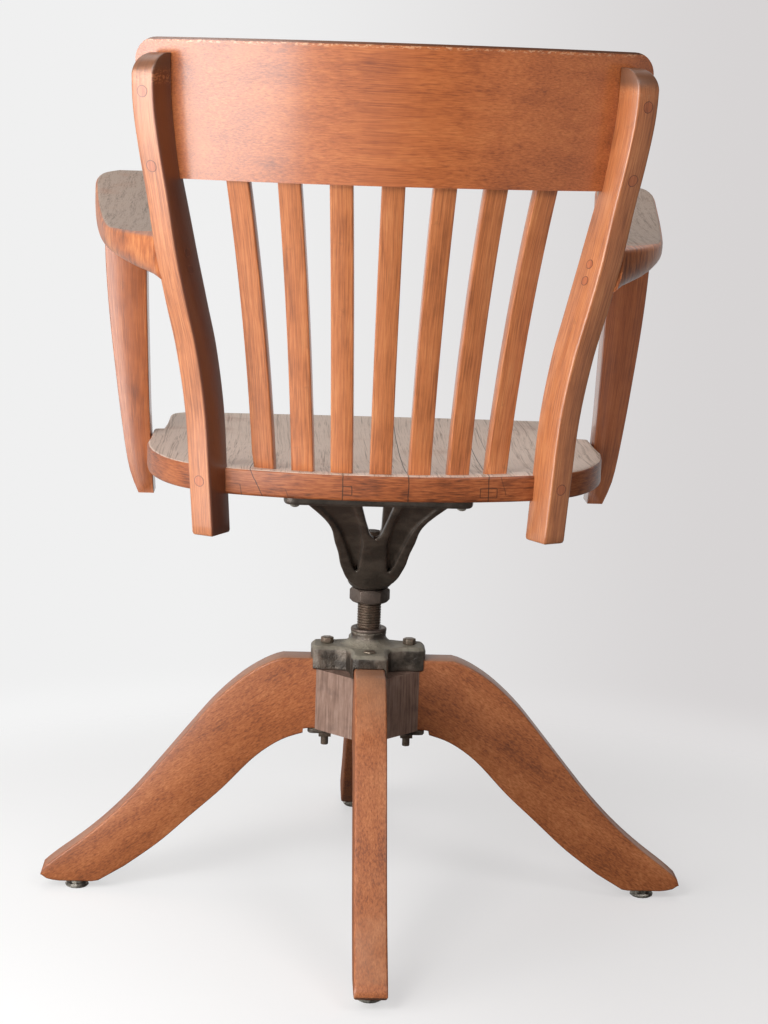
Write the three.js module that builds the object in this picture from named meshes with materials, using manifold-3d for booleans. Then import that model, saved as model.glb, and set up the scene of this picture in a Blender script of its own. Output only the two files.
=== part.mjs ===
// Bankers swivel chair: a wooden armchair on a four-legged base with a screw spindle.
// Units are millimetres, Z is up, the back of the chair faces +Y, and X runs across it.
// The origin is the point of the floor under the middle of the screw.
import * as THREE from 'three';
import { mergeVertices } from 'three/addons/utils/BufferGeometryUtils.js';
import Module from 'manifold-3d';

const wasm = await Module();
wasm.setup();

// Clearances that every seat and hole uses
const seatGap = 0.3;
const boltPlay = 0.3;
const runPlay = 0.3;
const cutOverrun = 4;
const weldTolerance = 0.0001;

// Legs: one flat S shape, sawn from plank
const legReach = 343;
const legTopHeight = 260;
const legHubDepth = 81.5;
const legFootHeight = 9.5;
const legThickness = 32;
const legEdgeRound = 2.4;
const legInnerRadius = 28;
const legTopCurveShares = [
  [0.268, 1], [0.324, 0.967], [0.391, 0.908], [0.469, 0.812], [0.548, 0.687], [0.624, 0.562],
  [0.707, 0.429], [0.787, 0.317], [0.867, 0.223], [0.956, 0.133], [0.994, 0.09],
];
const legToeShares = [[1, 0.064], [0.976, 0.042]];
const legSoleShares = [0.939, 0.826];
const legBellyShares = [
  [0.741, 0.104], [0.636, 0.208], [0.536, 0.329], [0.443, 0.442], [0.362, 0.556],
  [0.31, 0.615], [0.254, 0.66],
];

// Glides under the legs
const glideSetback = 38;
const glideDiameter = 25;
const glideDiscHeight = 4.6;
const glideCollarDiameter = 17;
const glidePinDiameter = 4;
const glidePinLength = 14;
const glideProfileShares = [[0.84, 0], [1, 0.33], [1, 0.7], [0.9, 1]];

// Hub: block, bottom plate, top spider and their bolts
const hubFaceDistance = 50;
const plateThickness = 5;
const plateEdgeRound = 0.6;
const plateReach = 62;
const plateHeelGap = 5;
const plateArmWidth = 29;
const plateScrewPlay = 3.5;
const plateFillet = 13;
const spiderReach = 60.5;
const spiderWall = 3.2;
const spiderTopThickness = 13.7;
const spiderSkirt = 11;
const spiderEdgeRound = 3.6;
const spiderFillet = 16;
const armEndShare = 0.2;
const neckRise = 14;
const neckDiameter = 38;
const neckWaistDiameter = 36.8;
const neckFootDiameter = 60;
const neckFootShares = [[0.967, 0], [0.83, 0.12], [0.684, 0.38]];
const neckWaistShares = [0.6, 0.8, 0.85];
const boltCircleRadius = 43.5;
const boltDiameter = 8;
const boltHeadAcross = 12;
const boltHeadHeight = 6;
const rearBoltHeadHeight = 1.8;
const boltEndBelowNut = 9.5;
const nutAcross = 13;
const nutHeight = 5.6;

// Screw, its bush and the lock nut
const bushDiameter = 30.8;
const bushLength = 88;
const bushFlangeDiameter = 38;
const bushFlangeHeight = 3.7;
const bushFlangeChamfer = 0.9;
const screwDiameter = 25;
const screwBelowBush = 35;
const screwTipDiameter = 18;
const screwTipRise = 17.5;
const screwChamfer = 1.8;
const threadShown = 28;
const lockNutAcross = 37;
const lockNutHeight = 15;
const lockNutChamfer = 2.5;
const crossPinDiameter = 4;
const crossPinLength = 27;
const crossPinDrop = 10;

// Seat iron: a boss, two forked arms and two strips under the seat
const ironBossDiameter = 48;
const ironBossHeight = 42.7;
const ironBossChamfer = 5;
const ironCrownThickness = 6;
const ironForkFoot = 28;
const ironForkFootRise = 2.7;
const ironForkRise = 111.7;
const ironForkThickness = 9;
const ironForkTopHalf = 69.5;
const ironWindowHalf = 16;
const ironGutterDepth = 2.4;
const ironGutterPoints = 8;
const ironGutterRimShare = 0.17;
const ironGutterFootRimShare = 0.46;
const ironStripLength = 186;
const ironStripWidth = 26;
const ironStripThickness = 11;
const ironStripRear = 166;
const ironStripRound = 1.8;
const ironLugRound = 9;
const ironOutlineShares = [
  [1, 0.985], [0.86, 0.9], [0.72, 0.8], [0.633, 0.7], [0.59, 0.57], [0.525, 0.435],
  [0.49, 0.31], [0.44, 0.22], [0.385, 0.135], [0.28, 0.055], [0.115, 0.004],
];
const ironRearWindow = { shares: [[0.66, 0.81], [0.31, 0.645]], foot: 0.57 };
const ironFrontWindow = { shares: [[0.94, 0.6], [0.8, 0.4]], foot: 0.27 };
const seatScrewInset = 11;
const seatScrewDiameter = 5;
const seatScrewHeadDiameter = 10;
const seatScrewHeadHeight = 3;
const seatScrewLength = 27;
const seatScrewHeadShares = [[0.5, 1], [0.85, 0.7]];

// Seat board
const seatThickness = 26;
const seatHalfWidth = 235;
const seatRear = 200;
const seatFront = 217;
const seatEdgeRound = 3;
const seatRearShares = [
  [0.34, 0.968], [0.65, 0.866], [0.8, 0.75], [0.885, 0.62], [0.945, 0.46], [0.98, 0.3], [1, 0.1],
];
const seatFlankShare = 0.995;
const seatStepShare = 0.953;
const seatStepSlope = 3;
const seatFrontHalfShare = 0.945;
const seatFrontCornerShare = 0.98;
const seatFrontBulgeShares = [0.5, 0.992];
const seatCornerRadius = 28;
const dishHalfWidth = 214;
const dishHalfDepth = 196;
const dishDepth = 11;
const dishMiddle = 8;
const dishRimRise = 0.6;
const dishBowlPower = 1.2;
const dishRoundnessPower = 0.85;
const dishCoreShare = 0.04;
const pommelHalfWidth = 34;
const pommelShare = 0.6;
const dishRings = 8;
const dishSteps = 32;

// Rear posts: path of the inner rear corner from foot to top, and the section
const postWidth = 24;
const postDepthBottom = 33;
const postDepthMiddle = 38;
const postDepthTop = 30;
const postToe = 30;
const postDrop = 39;
const postRise = 390;
const postCornerCut = 2.2;
const postFootSpreadShare = 0.681;
const postFootBackShare = 0.98;
const postSpread = 59;
const postRake = 81;
const postSpreadShares = [
  [0, 0], [0.13, 0.07], [0.27, 0.15], [0.4, 0.3], [0.5, 0.47], [0.61, 0.64], [0.72, 0.77],
  [0.81, 0.89], [0.9, 0.98], [1, 1],
];
const postRakeShares = [
  [0, 0], [0.13, 0.04], [0.27, 0.12], [0.4, 0.25], [0.5, 0.38], [0.61, 0.52], [0.72, 0.66],
  [0.81, 0.77], [0.9, 0.88], [1, 1],
];
const postDepthShares = [[0, 0], [0.25, 0.4], [0.5, 1], [0.62, 0.9], [0.75, 0.2], [1, 0]];
const postFootChamfer = 3;
const postCrownHeight = 22;
const postCrownForward = 26;
const postCrownSide = 8;
const postSteps = 12;
const postCrownSteps = 4;

// Top rail: a raked board bent to an arc in plan
const railBackRadius = 440;
const railThickness = 22;
const railHeight = 127;
const railOverhang = 20;
const railPostInset = 59.4;
const railCornerRadius = 22;
const railEndSlant = 9;
const railEdgeRound = 2.5;
const railRakeShare = 0.22;

// Back slats
const slatCount = 7;
const slatRise = 277;
const slatWidth = 21.5;
const slatThickness = 11;
const slatCornerCut = 1.4;
const slatSeatSpacing = 38;
const slatRailSpacing = 47.5;
const slatSeatInset = 17;
const slatSeatRadius = 402;
const slatBow = 9;
const slatTenon = 12;
const slatToeStep = 5.9;
const slatSteps = 10;

// Arms: stations from rear to front as shares of length, reach inside, reach outside and rounding
const armOverhang = 72.5;
const armRearOverhang = 21;
const armFrontInset = 2;
const armRise = 223;
const armTopClimb = 45;
const armRearThickness = 40;
const armFrontThickness = 31;
const armStationShares = [
  [0, 0.675, 0.715, 0.95], [0.05, 0.645, 0.765, 0.95], [0.1, 0.64, 0.808, 0.95],
  [0.17, 0.65, 0.853, 0.94], [0.27, 0.685, 0.891, 0.84], [0.38, 0.725, 0.916, 0.62],
  [0.52, 0.76, 0.942, 0.42], [0.66, 0.775, 0.965, 0.32], [0.8, 0.78, 0.985, 0.28],
  [0.9, 0.784, 0.997, 0.26], [0.95, 0.792, 0.993, 0.26], [0.98, 0.806, 0.975, 0.28],
  [1, 0.83, 0.94, 0.32],
];
const armThinningShares = [0.2, 0.62];
const armRoundnessPower = 0.85;
const armEdgeRound = 5;
const armEdgeShares = [0.3, 0.8];
const armEdgeLimitShare = 0.2;
const armArcSteps = 6;

// Arm supports at the seat's sides
const supportRear = -40;
const supportDepth = 35;
const supportDrop = 38;
const supportHousing = 4;
const supportReach = 55;
const supportTopDrop = 3;
const supportCornerCut = 2;
const supportLevelShares = [0, 0.03, 0.1, 0.2, 0.32, 0.48, 0.64, 0.82, 1];
const supportInnerShares = [[0, 0], [0.16, 0.056], [0.3, 0.1], [0.55, 0.15], [0.8, 0.19], [1, 0.19]];
const supportOuterShares = [
  [0, 0.3], [0.03, 0.37], [0.1, 0.49], [0.26, 0.63], [0.48, 0.78], [0.68, 0.9], [0.86, 0.975], [1, 1],
];

// Wooden plugs over the screws of the posts
const plugDiameter = 11;
const plugLength = 6;
const armPlugDiameter = 9;
const postPlugShares = [0.923, 0.776, 0.119];
const armPlugShares = [0.602, 0.567];
const plugSlopeShare = 0.01;

// Materials, with the colours of the photo
const woodVarnished = { color: 0x9a4f27, roughness: 0.42, metalness: 0 };
const woodWorn = { color: 0x8d7967, roughness: 0.62, metalness: 0 };
const woodHub = { color: 0x5a4a3e, roughness: 0.75, metalness: 0 };
const castIron = { color: 0x2c2b26, roughness: 0.55, metalness: 0.75 };
const rustySteel = { color: 0x4b3a2f, roughness: 0.6, metalness: 0.8 };
const brightSteel = { color: 0x9b9890, roughness: 0.4, metalness: 0.9 };

// Counts of facets, and angles
const roundSteps = 24;
const smallSteps = 12;
const hexSteps = 6;
const splineSteps = 2;
const roundingSteps = 1;
const railSteps = 16;
const quarterTurn = Math.PI / 2;
const halfTurn = Math.PI;
const fullTurn = 2 * Math.PI;
const quarterDegrees = 90;
const halfDegrees = 180;

// Levels of the base, from the floor up to the thread that shows
const glideRadius = legReach - glideSetback;
const legHeelRadius = plateReach + plateHeelGap;
const legHeelHeight = legTopHeight - legHubDepth;
const plateTopHeight = legHeelHeight + plateThickness - seatGap;
const plateBottomHeight = plateTopHeight - plateThickness;
const hubBottomHeight = plateTopHeight + seatGap;
const hubCoreHalf = legInnerRadius - seatGap;
const hubBore = bushDiameter + 2 * runPlay;
const spiderBottomHeight = legTopHeight - spiderSkirt;
const spiderTopHeight = legTopHeight + seatGap + spiderTopThickness;
const spiderArmWidth = legThickness + 2 * (seatGap + spiderWall);
const boltHole = boltDiameter + 2 * boltPlay;
const boltEndHeight = plateBottomHeight - seatGap - nutHeight - boltEndBelowNut;
const neckTopHeight = spiderTopHeight + neckRise;
const bushTopHeight = neckTopHeight + seatGap + bushFlangeHeight;
const bushBottomHeight = neckTopHeight - bushLength;

// Levels of the screw and the iron, up to the seat
const lockNutTopHeight = bushTopHeight + threadShown + lockNutHeight;
const ironBossBottom = lockNutTopHeight + seatGap;
const ironBossTop = ironBossBottom + ironBossHeight;
const ironForkFootHeight = ironBossBottom + ironForkFootRise;
const ironStripBottom = ironForkFootHeight + ironForkRise;
const ironStripTop = ironStripBottom + ironStripThickness;
const ironStripMiddle = ironStripRear - ironStripWidth / 2;
const screwBottomHeight = bushBottomHeight - screwBelowBush;
const screwShoulderHeight = ironBossTop - ironCrownThickness - seatGap;
const screwTipHeight = ironBossTop + screwTipRise;
const crossPinHeight = screwTipHeight - crossPinDrop;
const seatBottomHeight = ironStripTop + seatGap;
const seatTopHeight = seatBottomHeight + seatThickness;
const seatScrewHole = seatScrewDiameter + 2 * seatGap;

// Places of the back and the arms, from the seat
const postBottomHeight = seatBottomHeight - postDrop;
const postTopHeight = seatTopHeight + postRise;
const postHeight = postTopHeight - postBottomHeight;
const postFootSpread = postFootSpreadShare * seatHalfWidth;
const postFootBack = postFootBackShare * seatRear;
const postTopSpread = postFootSpread + postSpread;
const postTopBack = postFootBack + postRake;
const postToeAngle = THREE.MathUtils.degToRad(postToe);
const railBottomHeight = seatTopHeight + slatRise;
const railHalfLength = postTopSpread + railOverhang;
const railBackMiddle = postTopBack + arcDrop(railBackRadius, postTopSpread) - railPostInset;
const slatSeatBack = seatRear - slatSeatInset;
const slatRailInset = (railThickness - slatThickness) / 2;
const armOuterReach = seatHalfWidth + armOverhang;
const armRearDepth = seatRear + armRearOverhang;
const armLength = armRearDepth + seatFront - armFrontInset;
const armTopRear = seatTopHeight + armRise;
const supportFront = supportRear - supportDepth;
const supportBottomHeight = seatBottomHeight - supportDrop;
const supportTopHeight = armTopRear - supportTopDrop;
const supportInnerBottom = seatHalfWidth - supportHousing;

// Boolean helpers: a closed geometry becomes a solid and comes back
function solidFrom(geometry) {
  const bare = geometry.clone();
  bare.deleteAttribute('normal');
  bare.deleteAttribute('uv');
  const merged = mergeVertices(bare, weldTolerance);
  const vertProperties = new Float32Array(merged.attributes.position.array);
  const triVerts = new Uint32Array(merged.index.array);
  return new wasm.Manifold(new wasm.Mesh({ numProp: 3, vertProperties, triVerts }));
}

function geometryFrom(solid) {
  const mesh = solid.getMesh();
  const geometry = new THREE.BufferGeometry();
  const positions = new Float32Array(mesh.numVert * 3);
  for (let vertex = 0; vertex < mesh.numVert; vertex += 1) {
    for (let axis = 0; axis < 3; axis += 1) {
      positions[vertex * 3 + axis] = mesh.vertProperties[vertex * mesh.numProp + axis];
    }
  }
  geometry.setAttribute('position', new THREE.BufferAttribute(positions, 3));
  geometry.setIndex(new THREE.BufferAttribute(new Uint32Array(mesh.triVerts), 1));
  geometry.computeVertexNormals();
  return geometry;
}

function joined(solids) {
  return solids.reduce((sum, solid) => sum.add(solid));
}

function cut(solid, tools) {
  return tools.reduce((rest, tool) => rest.subtract(tool), solid);
}

// Shape helpers: solids placed directly where they are used
function box(width, depth, height, x, y, z) {
  return solidFrom(new THREE.BoxGeometry(width, depth, height).translate(x, y, z));
}

function rod(diameter, bottom, top, x = 0, y = 0, steps = roundSteps) {
  const geometry = new THREE.CylinderGeometry(diameter / 2, diameter / 2, top - bottom, steps);
  return solidFrom(geometry.rotateX(quarterTurn).translate(x, y, (top + bottom) / 2));
}

function turned(profile, steps = roundSteps) {
  const points = profile.map(([radius, height]) => new THREE.Vector2(radius, height));
  points.push(points[0].clone());
  return solidFrom(new THREE.LatheGeometry(points, steps).rotateX(quarterTurn));
}

// A shape drawn in X and Z, extruded along Y and centred on the given depth
function slabFacingBack(shape, depth, middle = 0, round = 0, curveSegments = splineSteps) {
  const geometry = new THREE.ExtrudeGeometry(shape, {
    depth: depth - 2 * round,
    bevelEnabled: round > 0,
    bevelSize: round,
    bevelThickness: round,
    bevelOffset: -round,
    bevelSegments: roundingSteps,
    curveSegments,
  });
  geometry.translate(0, 0, round - depth / 2);
  return solidFrom(geometry.rotateX(quarterTurn).translate(0, middle, 0));
}

// A shape drawn in X and Y, extruded upwards from the given height
function slabFacingUp(shape, bottom, thickness, round = 0, curveSegments = splineSteps) {
  const geometry = new THREE.ExtrudeGeometry(shape, {
    depth: thickness - 2 * round,
    bevelEnabled: round > 0,
    bevelSize: round,
    bevelThickness: round,
    bevelOffset: -round,
    bevelSegments: roundingSteps,
    curveSegments,
  });
  return solidFrom(geometry.translate(0, 0, bottom + round));
}

// Sections of equal point count, joined ring by ring and capped at both ends
function loft(rings) {
  const count = rings[0].length;
  const positions = [];
  const triangles = [];
  rings.forEach((ring) => ring.forEach((point) => positions.push(point.x, point.y, point.z)));
  for (let level = 0; level < rings.length - 1; level += 1) {
    for (let side = 0; side < count; side += 1) {
      const next = (side + 1) % count;
      const low = level * count;
      const high = low + count;
      triangles.push(low + side, low + next, high + next, low + side, high + next, high + side);
    }
  }
  [0, rings.length - 1].forEach((level) => {
    const middle = rings[level].reduce((sum, point) => sum.add(point), new THREE.Vector3());
    middle.divideScalar(count);
    const centre = positions.length / 3;
    positions.push(middle.x, middle.y, middle.z);
    for (let side = 0; side < count; side += 1) {
      const next = (side + 1) % count;
      const low = level * count;
      if (level === 0) triangles.push(centre, low + next, low + side);
      else triangles.push(centre, low + side, low + next);
    }
  });
  const geometry = new THREE.BufferGeometry();
  geometry.setAttribute('position', new THREE.Float32BufferAttribute(positions, 3));
  geometry.setIndex(triangles);
  if (signedVolume(positions, triangles) < 0) {
    const flipped = [];
    for (let start = 0; start < triangles.length; start += 3) {
      flipped.push(triangles[start], triangles[start + 2], triangles[start + 1]);
    }
    geometry.setIndex(flipped);
  }
  return solidFrom(geometry);
}

function signedVolume(positions, triangles) {
  const corner = (index) => new THREE.Vector3().fromArray(positions, index * 3);
  let sum = 0;
  for (let start = 0; start < triangles.length; start += 3) {
    const [a, b, c] = [0, 1, 2].map((step) => corner(triangles[start + step]));
    sum += a.dot(b.cross(c));
  }
  return sum;
}

// The value of a smooth curve through [share, value] pairs
function smoothValue(pairs, share) {
  const last = pairs.length - 1;
  if (share <= pairs[0][0]) return pairs[0][1];
  if (share >= pairs[last][0]) return pairs[last][1];
  const upper = pairs.findIndex((pair) => pair[0] >= share);
  const [startShare, startValue] = pairs[upper - 1];
  const [endShare, endValue] = pairs[upper];
  const slope = (index) => {
    const before = pairs[Math.max(index - 1, 0)];
    const after = pairs[Math.min(index + 1, last)];
    return (after[1] - before[1]) / (after[0] - before[0]);
  };
  const span = endShare - startShare;
  const t = (share - startShare) / span;
  const startWeight = 2 * t ** 3 - 3 * t ** 2 + 1;
  const endWeight = 3 * t ** 2 - 2 * t ** 3;
  const startTangent = (t ** 3 - 2 * t ** 2 + t) * span * slope(upper - 1);
  const endTangent = (t ** 3 - t ** 2) * span * slope(upper);
  return startWeight * startValue + endWeight * endValue + startTangent + endTangent;
}

// Legs
function legShape() {
  const place = ([along, up]) => new THREE.Vector2(along * legReach, up * legTopHeight);
  const shape = new THREE.Shape();
  shape.moveTo(legInnerRadius, legTopHeight);
  const topCurve = legTopCurveShares.map(place);
  shape.lineTo(topCurve[0].x, topCurve[0].y);
  shape.splineThru(topCurve.slice(1));
  legToeShares.map(place).forEach((point) => shape.lineTo(point.x, point.y));
  legSoleShares.forEach((along) => shape.lineTo(along * legReach, legFootHeight));
  const belly = legBellyShares.map(place);
  belly.push(new THREE.Vector2(legHeelRadius, legHeelHeight));
  shape.splineThru(belly);
  shape.lineTo(legHeelRadius, hubBottomHeight);
  shape.lineTo(legInnerRadius, hubBottomHeight);
  return shape;
}

function legSolid() {
  const body = slabFacingBack(legShape(), legThickness, 0, legEdgeRound);
  const boltTunnel = rod(
    boltHole, plateBottomHeight, spiderTopHeight, boltCircleRadius, 0, smallSteps,
  );
  const pinHole = rod(
    glidePinDiameter + 2 * seatGap, legFootHeight - cutOverrun,
    legFootHeight + glidePinLength + seatGap, glideRadius, 0, smallSteps,
  );
  return cut(body, [boltTunnel, pinHole]);
}

function glideSolid() {
  const disc = glideDiameter / 2;
  const collar = glideCollarDiameter / 2;
  const pin = glidePinDiameter / 2;
  const collarTop = legFootHeight - seatGap;
  const pinTop = legFootHeight + glidePinLength;
  return turned([
    [0, 0], ...glideProfileShares.map(([across, up]) => [across * disc, up * glideDiscHeight]),
    [collar, glideDiscHeight], [collar, collarTop], [pin, collarTop], [pin, pinTop], [0, pinTop],
  ], smallSteps);
}

// Hub
function crossShape(reach, width, fillet, endRound) {
  const half = width / 2;
  const shape = new THREE.Shape();
  shape.moveTo(reach, -half + endRound);
  for (let arm = 0; arm < 4; arm += 1) {
    const turn = arm * quarterTurn;
    const at = (x, y) => {
      const point = new THREE.Vector2(x, y).rotateAround(new THREE.Vector2(), turn);
      return [point.x, point.y];
    };
    shape.lineTo(...at(reach, half - endRound));
    shape.quadraticCurveTo(...at(reach, half), ...at(reach - endRound, half));
    shape.lineTo(...at(half + fillet, half));
    shape.quadraticCurveTo(...at(half, half), ...at(half, half + fillet));
    shape.lineTo(...at(half, reach - endRound));
    shape.quadraticCurveTo(...at(half, reach), ...at(half - endRound, reach));
  }
  return shape;
}

function fourTurns(solid) {
  return [0, 1, 2, 3].map((arm) => solid.rotate([0, 0, arm * quarterDegrees]));
}

function hubBoltHoles(bottom, top) {
  return fourTurns(rod(boltHole, bottom, top, boltCircleRadius, 0, smallSteps));
}

function hubBlockSolid() {
  const side = 2 * hubFaceDistance;
  const top = spiderBottomHeight - seatGap;
  const height = top - hubBottomHeight;
  const middle = (top + hubBottomHeight) / 2;
  const turnedBox = new THREE.BoxGeometry(side, side, height).rotateZ(quarterTurn / 2);
  const body = solidFrom(turnedBox.translate(0, 0, middle));
  const slotWidth = legThickness + 2 * seatGap;
  const slot = box(
    hubFaceDistance, slotWidth, height + 2 * cutOverrun, hubCoreHalf + hubFaceDistance / 2, 0, middle,
  );
  const bore = rod(hubBore, hubBottomHeight - cutOverrun, top + cutOverrun);
  return cut(body, [...fourTurns(slot), bore]);
}

function bottomPlateSolid() {
  const shape = crossShape(plateReach, plateArmWidth, plateFillet, armEndShare * plateArmWidth);
  const body = slabFacingUp(shape, plateBottomHeight, plateThickness, plateEdgeRound);
  const bottom = plateBottomHeight - cutOverrun;
  const top = plateTopHeight + cutOverrun;
  const screwHole = rod(screwDiameter + 2 * plateScrewPlay, bottom, top);
  return cut(body, [screwHole, ...hubBoltHoles(bottom, top)]);
}

function spiderSolid() {
  const height = spiderTopHeight - spiderBottomHeight;
  const shape = crossShape(spiderReach, spiderArmWidth, spiderFillet, armEndShare * spiderArmWidth);
  const hood = slabFacingUp(
    shape, spiderBottomHeight - spiderEdgeRound, height + spiderEdgeRound, spiderEdgeRound,
  );
  const foot = box(
    2 * spiderReach, 2 * spiderReach, cutOverrun, 0, 0, spiderBottomHeight - cutOverrun / 2,
  );
  const [neckLow, neckHigh, neckRim] = neckWaistShares.map((up) => spiderTopHeight + up * neckRise);
  const neckFoot = neckFootDiameter / 2;
  const waist = neckWaistDiameter / 2;
  const half = neckDiameter / 2;
  const neck = turned([
    [hubBore / 4, spiderTopHeight - cutOverrun], [neckFoot, spiderTopHeight - cutOverrun],
    ...neckFootShares.map(([across, up]) => [across * neckFoot, spiderTopHeight + up * neckRise]),
    [waist, neckLow], [waist, neckHigh], [half, neckRim], [half, neckTopHeight],
    [hubBore / 4, neckTopHeight],
  ]);
  const slotTop = legTopHeight + seatGap;
  const slotHeight = spiderSkirt + seatGap + cutOverrun;
  const legSlot = box(
    spiderReach, legThickness + 2 * seatGap, slotHeight, hubCoreHalf + spiderReach / 2, 0,
    slotTop - slotHeight / 2,
  );
  const bore = rod(hubBore, spiderBottomHeight - cutOverrun, neckTopHeight + cutOverrun);
  const holes = hubBoltHoles(spiderBottomHeight - cutOverrun, spiderTopHeight + cutOverrun);
  return cut(joined([hood, neck]), [foot, ...fourTurns(legSlot), bore, ...holes]);
}

function hexRod(across, bottom, top) {
  const corners = across / Math.cos(halfTurn / hexSteps);
  return rod(corners, bottom, top, 0, 0, hexSteps).rotate([0, 0, halfDegrees / hexSteps]);
}

function hubBoltSolid(headHeight) {
  const headBottom = spiderTopHeight + seatGap;
  const head = hexRod(boltHeadAcross, headBottom, headBottom + headHeight);
  const shank = rod(boltDiameter, boltEndHeight, headBottom + headHeight / 2, 0, 0, smallSteps);
  return head.add(shank);
}

function hubNutSolid() {
  const top = plateBottomHeight - seatGap;
  const body = box(nutAcross, nutAcross, nutHeight, 0, 0, top - nutHeight / 2);
  const hole = rod(boltHole, top - nutHeight - cutOverrun, top + cutOverrun, 0, 0, smallSteps);
  return body.subtract(hole);
}

// Screw and what rides on it
function bushSolid() {
  const outer = bushDiameter / 2;
  const flange = bushFlangeDiameter / 2;
  const inner = screwDiameter / 2 + runPlay;
  const flangeBottom = neckTopHeight + seatGap;
  return turned([
    [inner, bushBottomHeight], [outer, bushBottomHeight], [outer, flangeBottom],
    [flange, flangeBottom], [flange, bushTopHeight - bushFlangeChamfer],
    [flange - bushFlangeChamfer, bushTopHeight], [inner, bushTopHeight],
  ]);
}

function screwSolid() {
  const body = screwDiameter / 2;
  const tip = screwTipDiameter / 2;
  const solid = turned([
    [0, screwBottomHeight], [body - screwChamfer, screwBottomHeight],
    [body, screwBottomHeight + screwChamfer], [body, screwShoulderHeight], [tip, screwShoulderHeight],
    [tip, screwTipHeight - screwChamfer / 2], [tip - screwChamfer / 2, screwTipHeight],
    [0, screwTipHeight],
  ]);
  return solid.subtract(crossPin(crossPinDiameter + 2 * seatGap, crossPinLength));
}

function crossPin(diameter, length) {
  const geometry = new THREE.CylinderGeometry(diameter / 2, diameter / 2, length, smallSteps);
  return solidFrom(geometry.translate(0, 0, crossPinHeight));
}

function lockNutSolid() {
  const bottom = lockNutTopHeight - lockNutHeight;
  const hex = hexRod(lockNutAcross, bottom, lockNutTopHeight);
  const flat = lockNutAcross / 2;
  const corner = flat / Math.cos(halfTurn / hexSteps);
  const cone = turned([
    [0, bottom], [flat, bottom], [corner, bottom + lockNutChamfer],
    [corner, lockNutTopHeight - lockNutChamfer], [flat, lockNutTopHeight], [0, lockNutTopHeight],
  ]);
  const bore = rod(screwDiameter + 2 * runPlay, bottom - cutOverrun, lockNutTopHeight + cutOverrun);
  return hex.intersect(cone).subtract(bore);
}

// Seat iron
function forkPlace([across, up]) {
  return new THREE.Vector2(across * ironForkTopHalf, ironForkFootHeight + up * ironForkRise);
}

function windowPlaces(window) {
  return window.shares.map(([across, up]) => [
    across * ironWindowHalf, ironForkFootHeight + up * ironForkRise,
  ]);
}

function forkShape() {
  const rightSide = ironOutlineShares.map(forkPlace);
  const leftSide = rightSide.map((point) => new THREE.Vector2(-point.x, point.y)).reverse();
  const topHeight = ironStripTop - ironStripThickness / 2;
  const shape = new THREE.Shape();
  shape.moveTo(ironForkTopHalf, topHeight);
  shape.lineTo(rightSide[0].x, rightSide[0].y);
  shape.splineThru(rightSide.slice(1));
  shape.lineTo(leftSide[0].x, leftSide[0].y);
  shape.splineThru(leftSide.slice(1));
  shape.lineTo(-ironForkTopHalf, topHeight);
  return shape;
}

function windowShape(window) {
  const [upper, lower] = windowPlaces(window);
  const foot = ironForkFootHeight + window.foot * ironForkRise;
  const shape = new THREE.Shape();
  shape.moveTo(-ironWindowHalf, ironStripBottom);
  shape.lineTo(-upper[0], upper[1]);
  shape.lineTo(-lower[0], lower[1]);
  shape.quadraticCurveTo(0, foot, lower[0], lower[1]);
  shape.lineTo(upper[0], upper[1]);
  shape.lineTo(ironWindowHalf, ironStripBottom);
  return shape;
}

// Each arm has a gutter between raised rims, a narrower copy of the arm's own outline
function gutterShape(side, window) {
  const { lerp, mapLinear } = THREE.MathUtils;
  const outer = ironOutlineShares.slice(0, ironGutterPoints).map(forkPlace);
  const [upper, lower] = windowPlaces(window);
  const inner = (height) => {
    if (height > upper[1]) return mapLinear(height, upper[1], ironStripBottom, upper[0], ironWindowHalf);
    if (height > lower[1]) return mapLinear(height, lower[1], upper[1], lower[0], upper[0]);
    return lower[0] / 2;
  };
  const rim = (index) => (
    lerp(ironGutterRimShare, ironGutterFootRimShare, (index / (ironGutterPoints - 1)) ** 2)
  );
  const outward = outer.map((p, index) => [lerp(p.x, inner(p.y), rim(index)), p.y]);
  const inward = outer.map((p, index) => [lerp(inner(p.y), p.x, rim(index)), p.y]).reverse();
  const points = [...outward, ...inward].map(([x, z]) => new THREE.Vector2(side * x, z));
  return new THREE.Shape(points);
}

// The sloping layer of a fork arm, seen from the side, from an offset below its underside
function forkSide(underOffset, thickness) {
  const run = ironStripMiddle - ironForkFoot;
  const slopeLength = Math.hypot(run, ironForkRise);
  const lift = (thickness * slopeLength) / run;
  const foot = ironForkFootHeight + (underOffset * slopeLength) / run;
  const shape = new THREE.Shape();
  shape.moveTo(0, foot);
  shape.lineTo(ironForkFoot, foot);
  shape.lineTo(ironStripMiddle, foot + ironForkRise);
  shape.lineTo(ironStripMiddle, foot + ironForkRise + lift);
  shape.lineTo(ironForkFoot - lift / 2, foot + lift);
  shape.lineTo(0, foot + lift);
  const geometry = new THREE.ExtrudeGeometry(shape, { depth: 2 * ironForkTopHalf, bevelEnabled: false });
  geometry.translate(0, 0, -ironForkTopHalf);
  return solidFrom(geometry.rotateX(quarterTurn).rotateZ(quarterTurn));
}

function forkSolid(window) {
  const sweep = 2 * ironStripRear;
  const outline = slabFacingBack(forkShape(), sweep, sweep / 2);
  const opening = slabFacingBack(windowShape(window), sweep, sweep / 2 + ironForkFoot);
  const gutterLayer = forkSide(-ironForkThickness, ironForkThickness + ironGutterDepth);
  const gutters = [1, -1].map((side) => (
    slabFacingBack(gutterShape(side, window), sweep, sweep / 2).intersect(gutterLayer)
  ));
  return cut(outline.intersect(forkSide(0, ironForkThickness)), [opening, ...gutters]);
}

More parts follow.
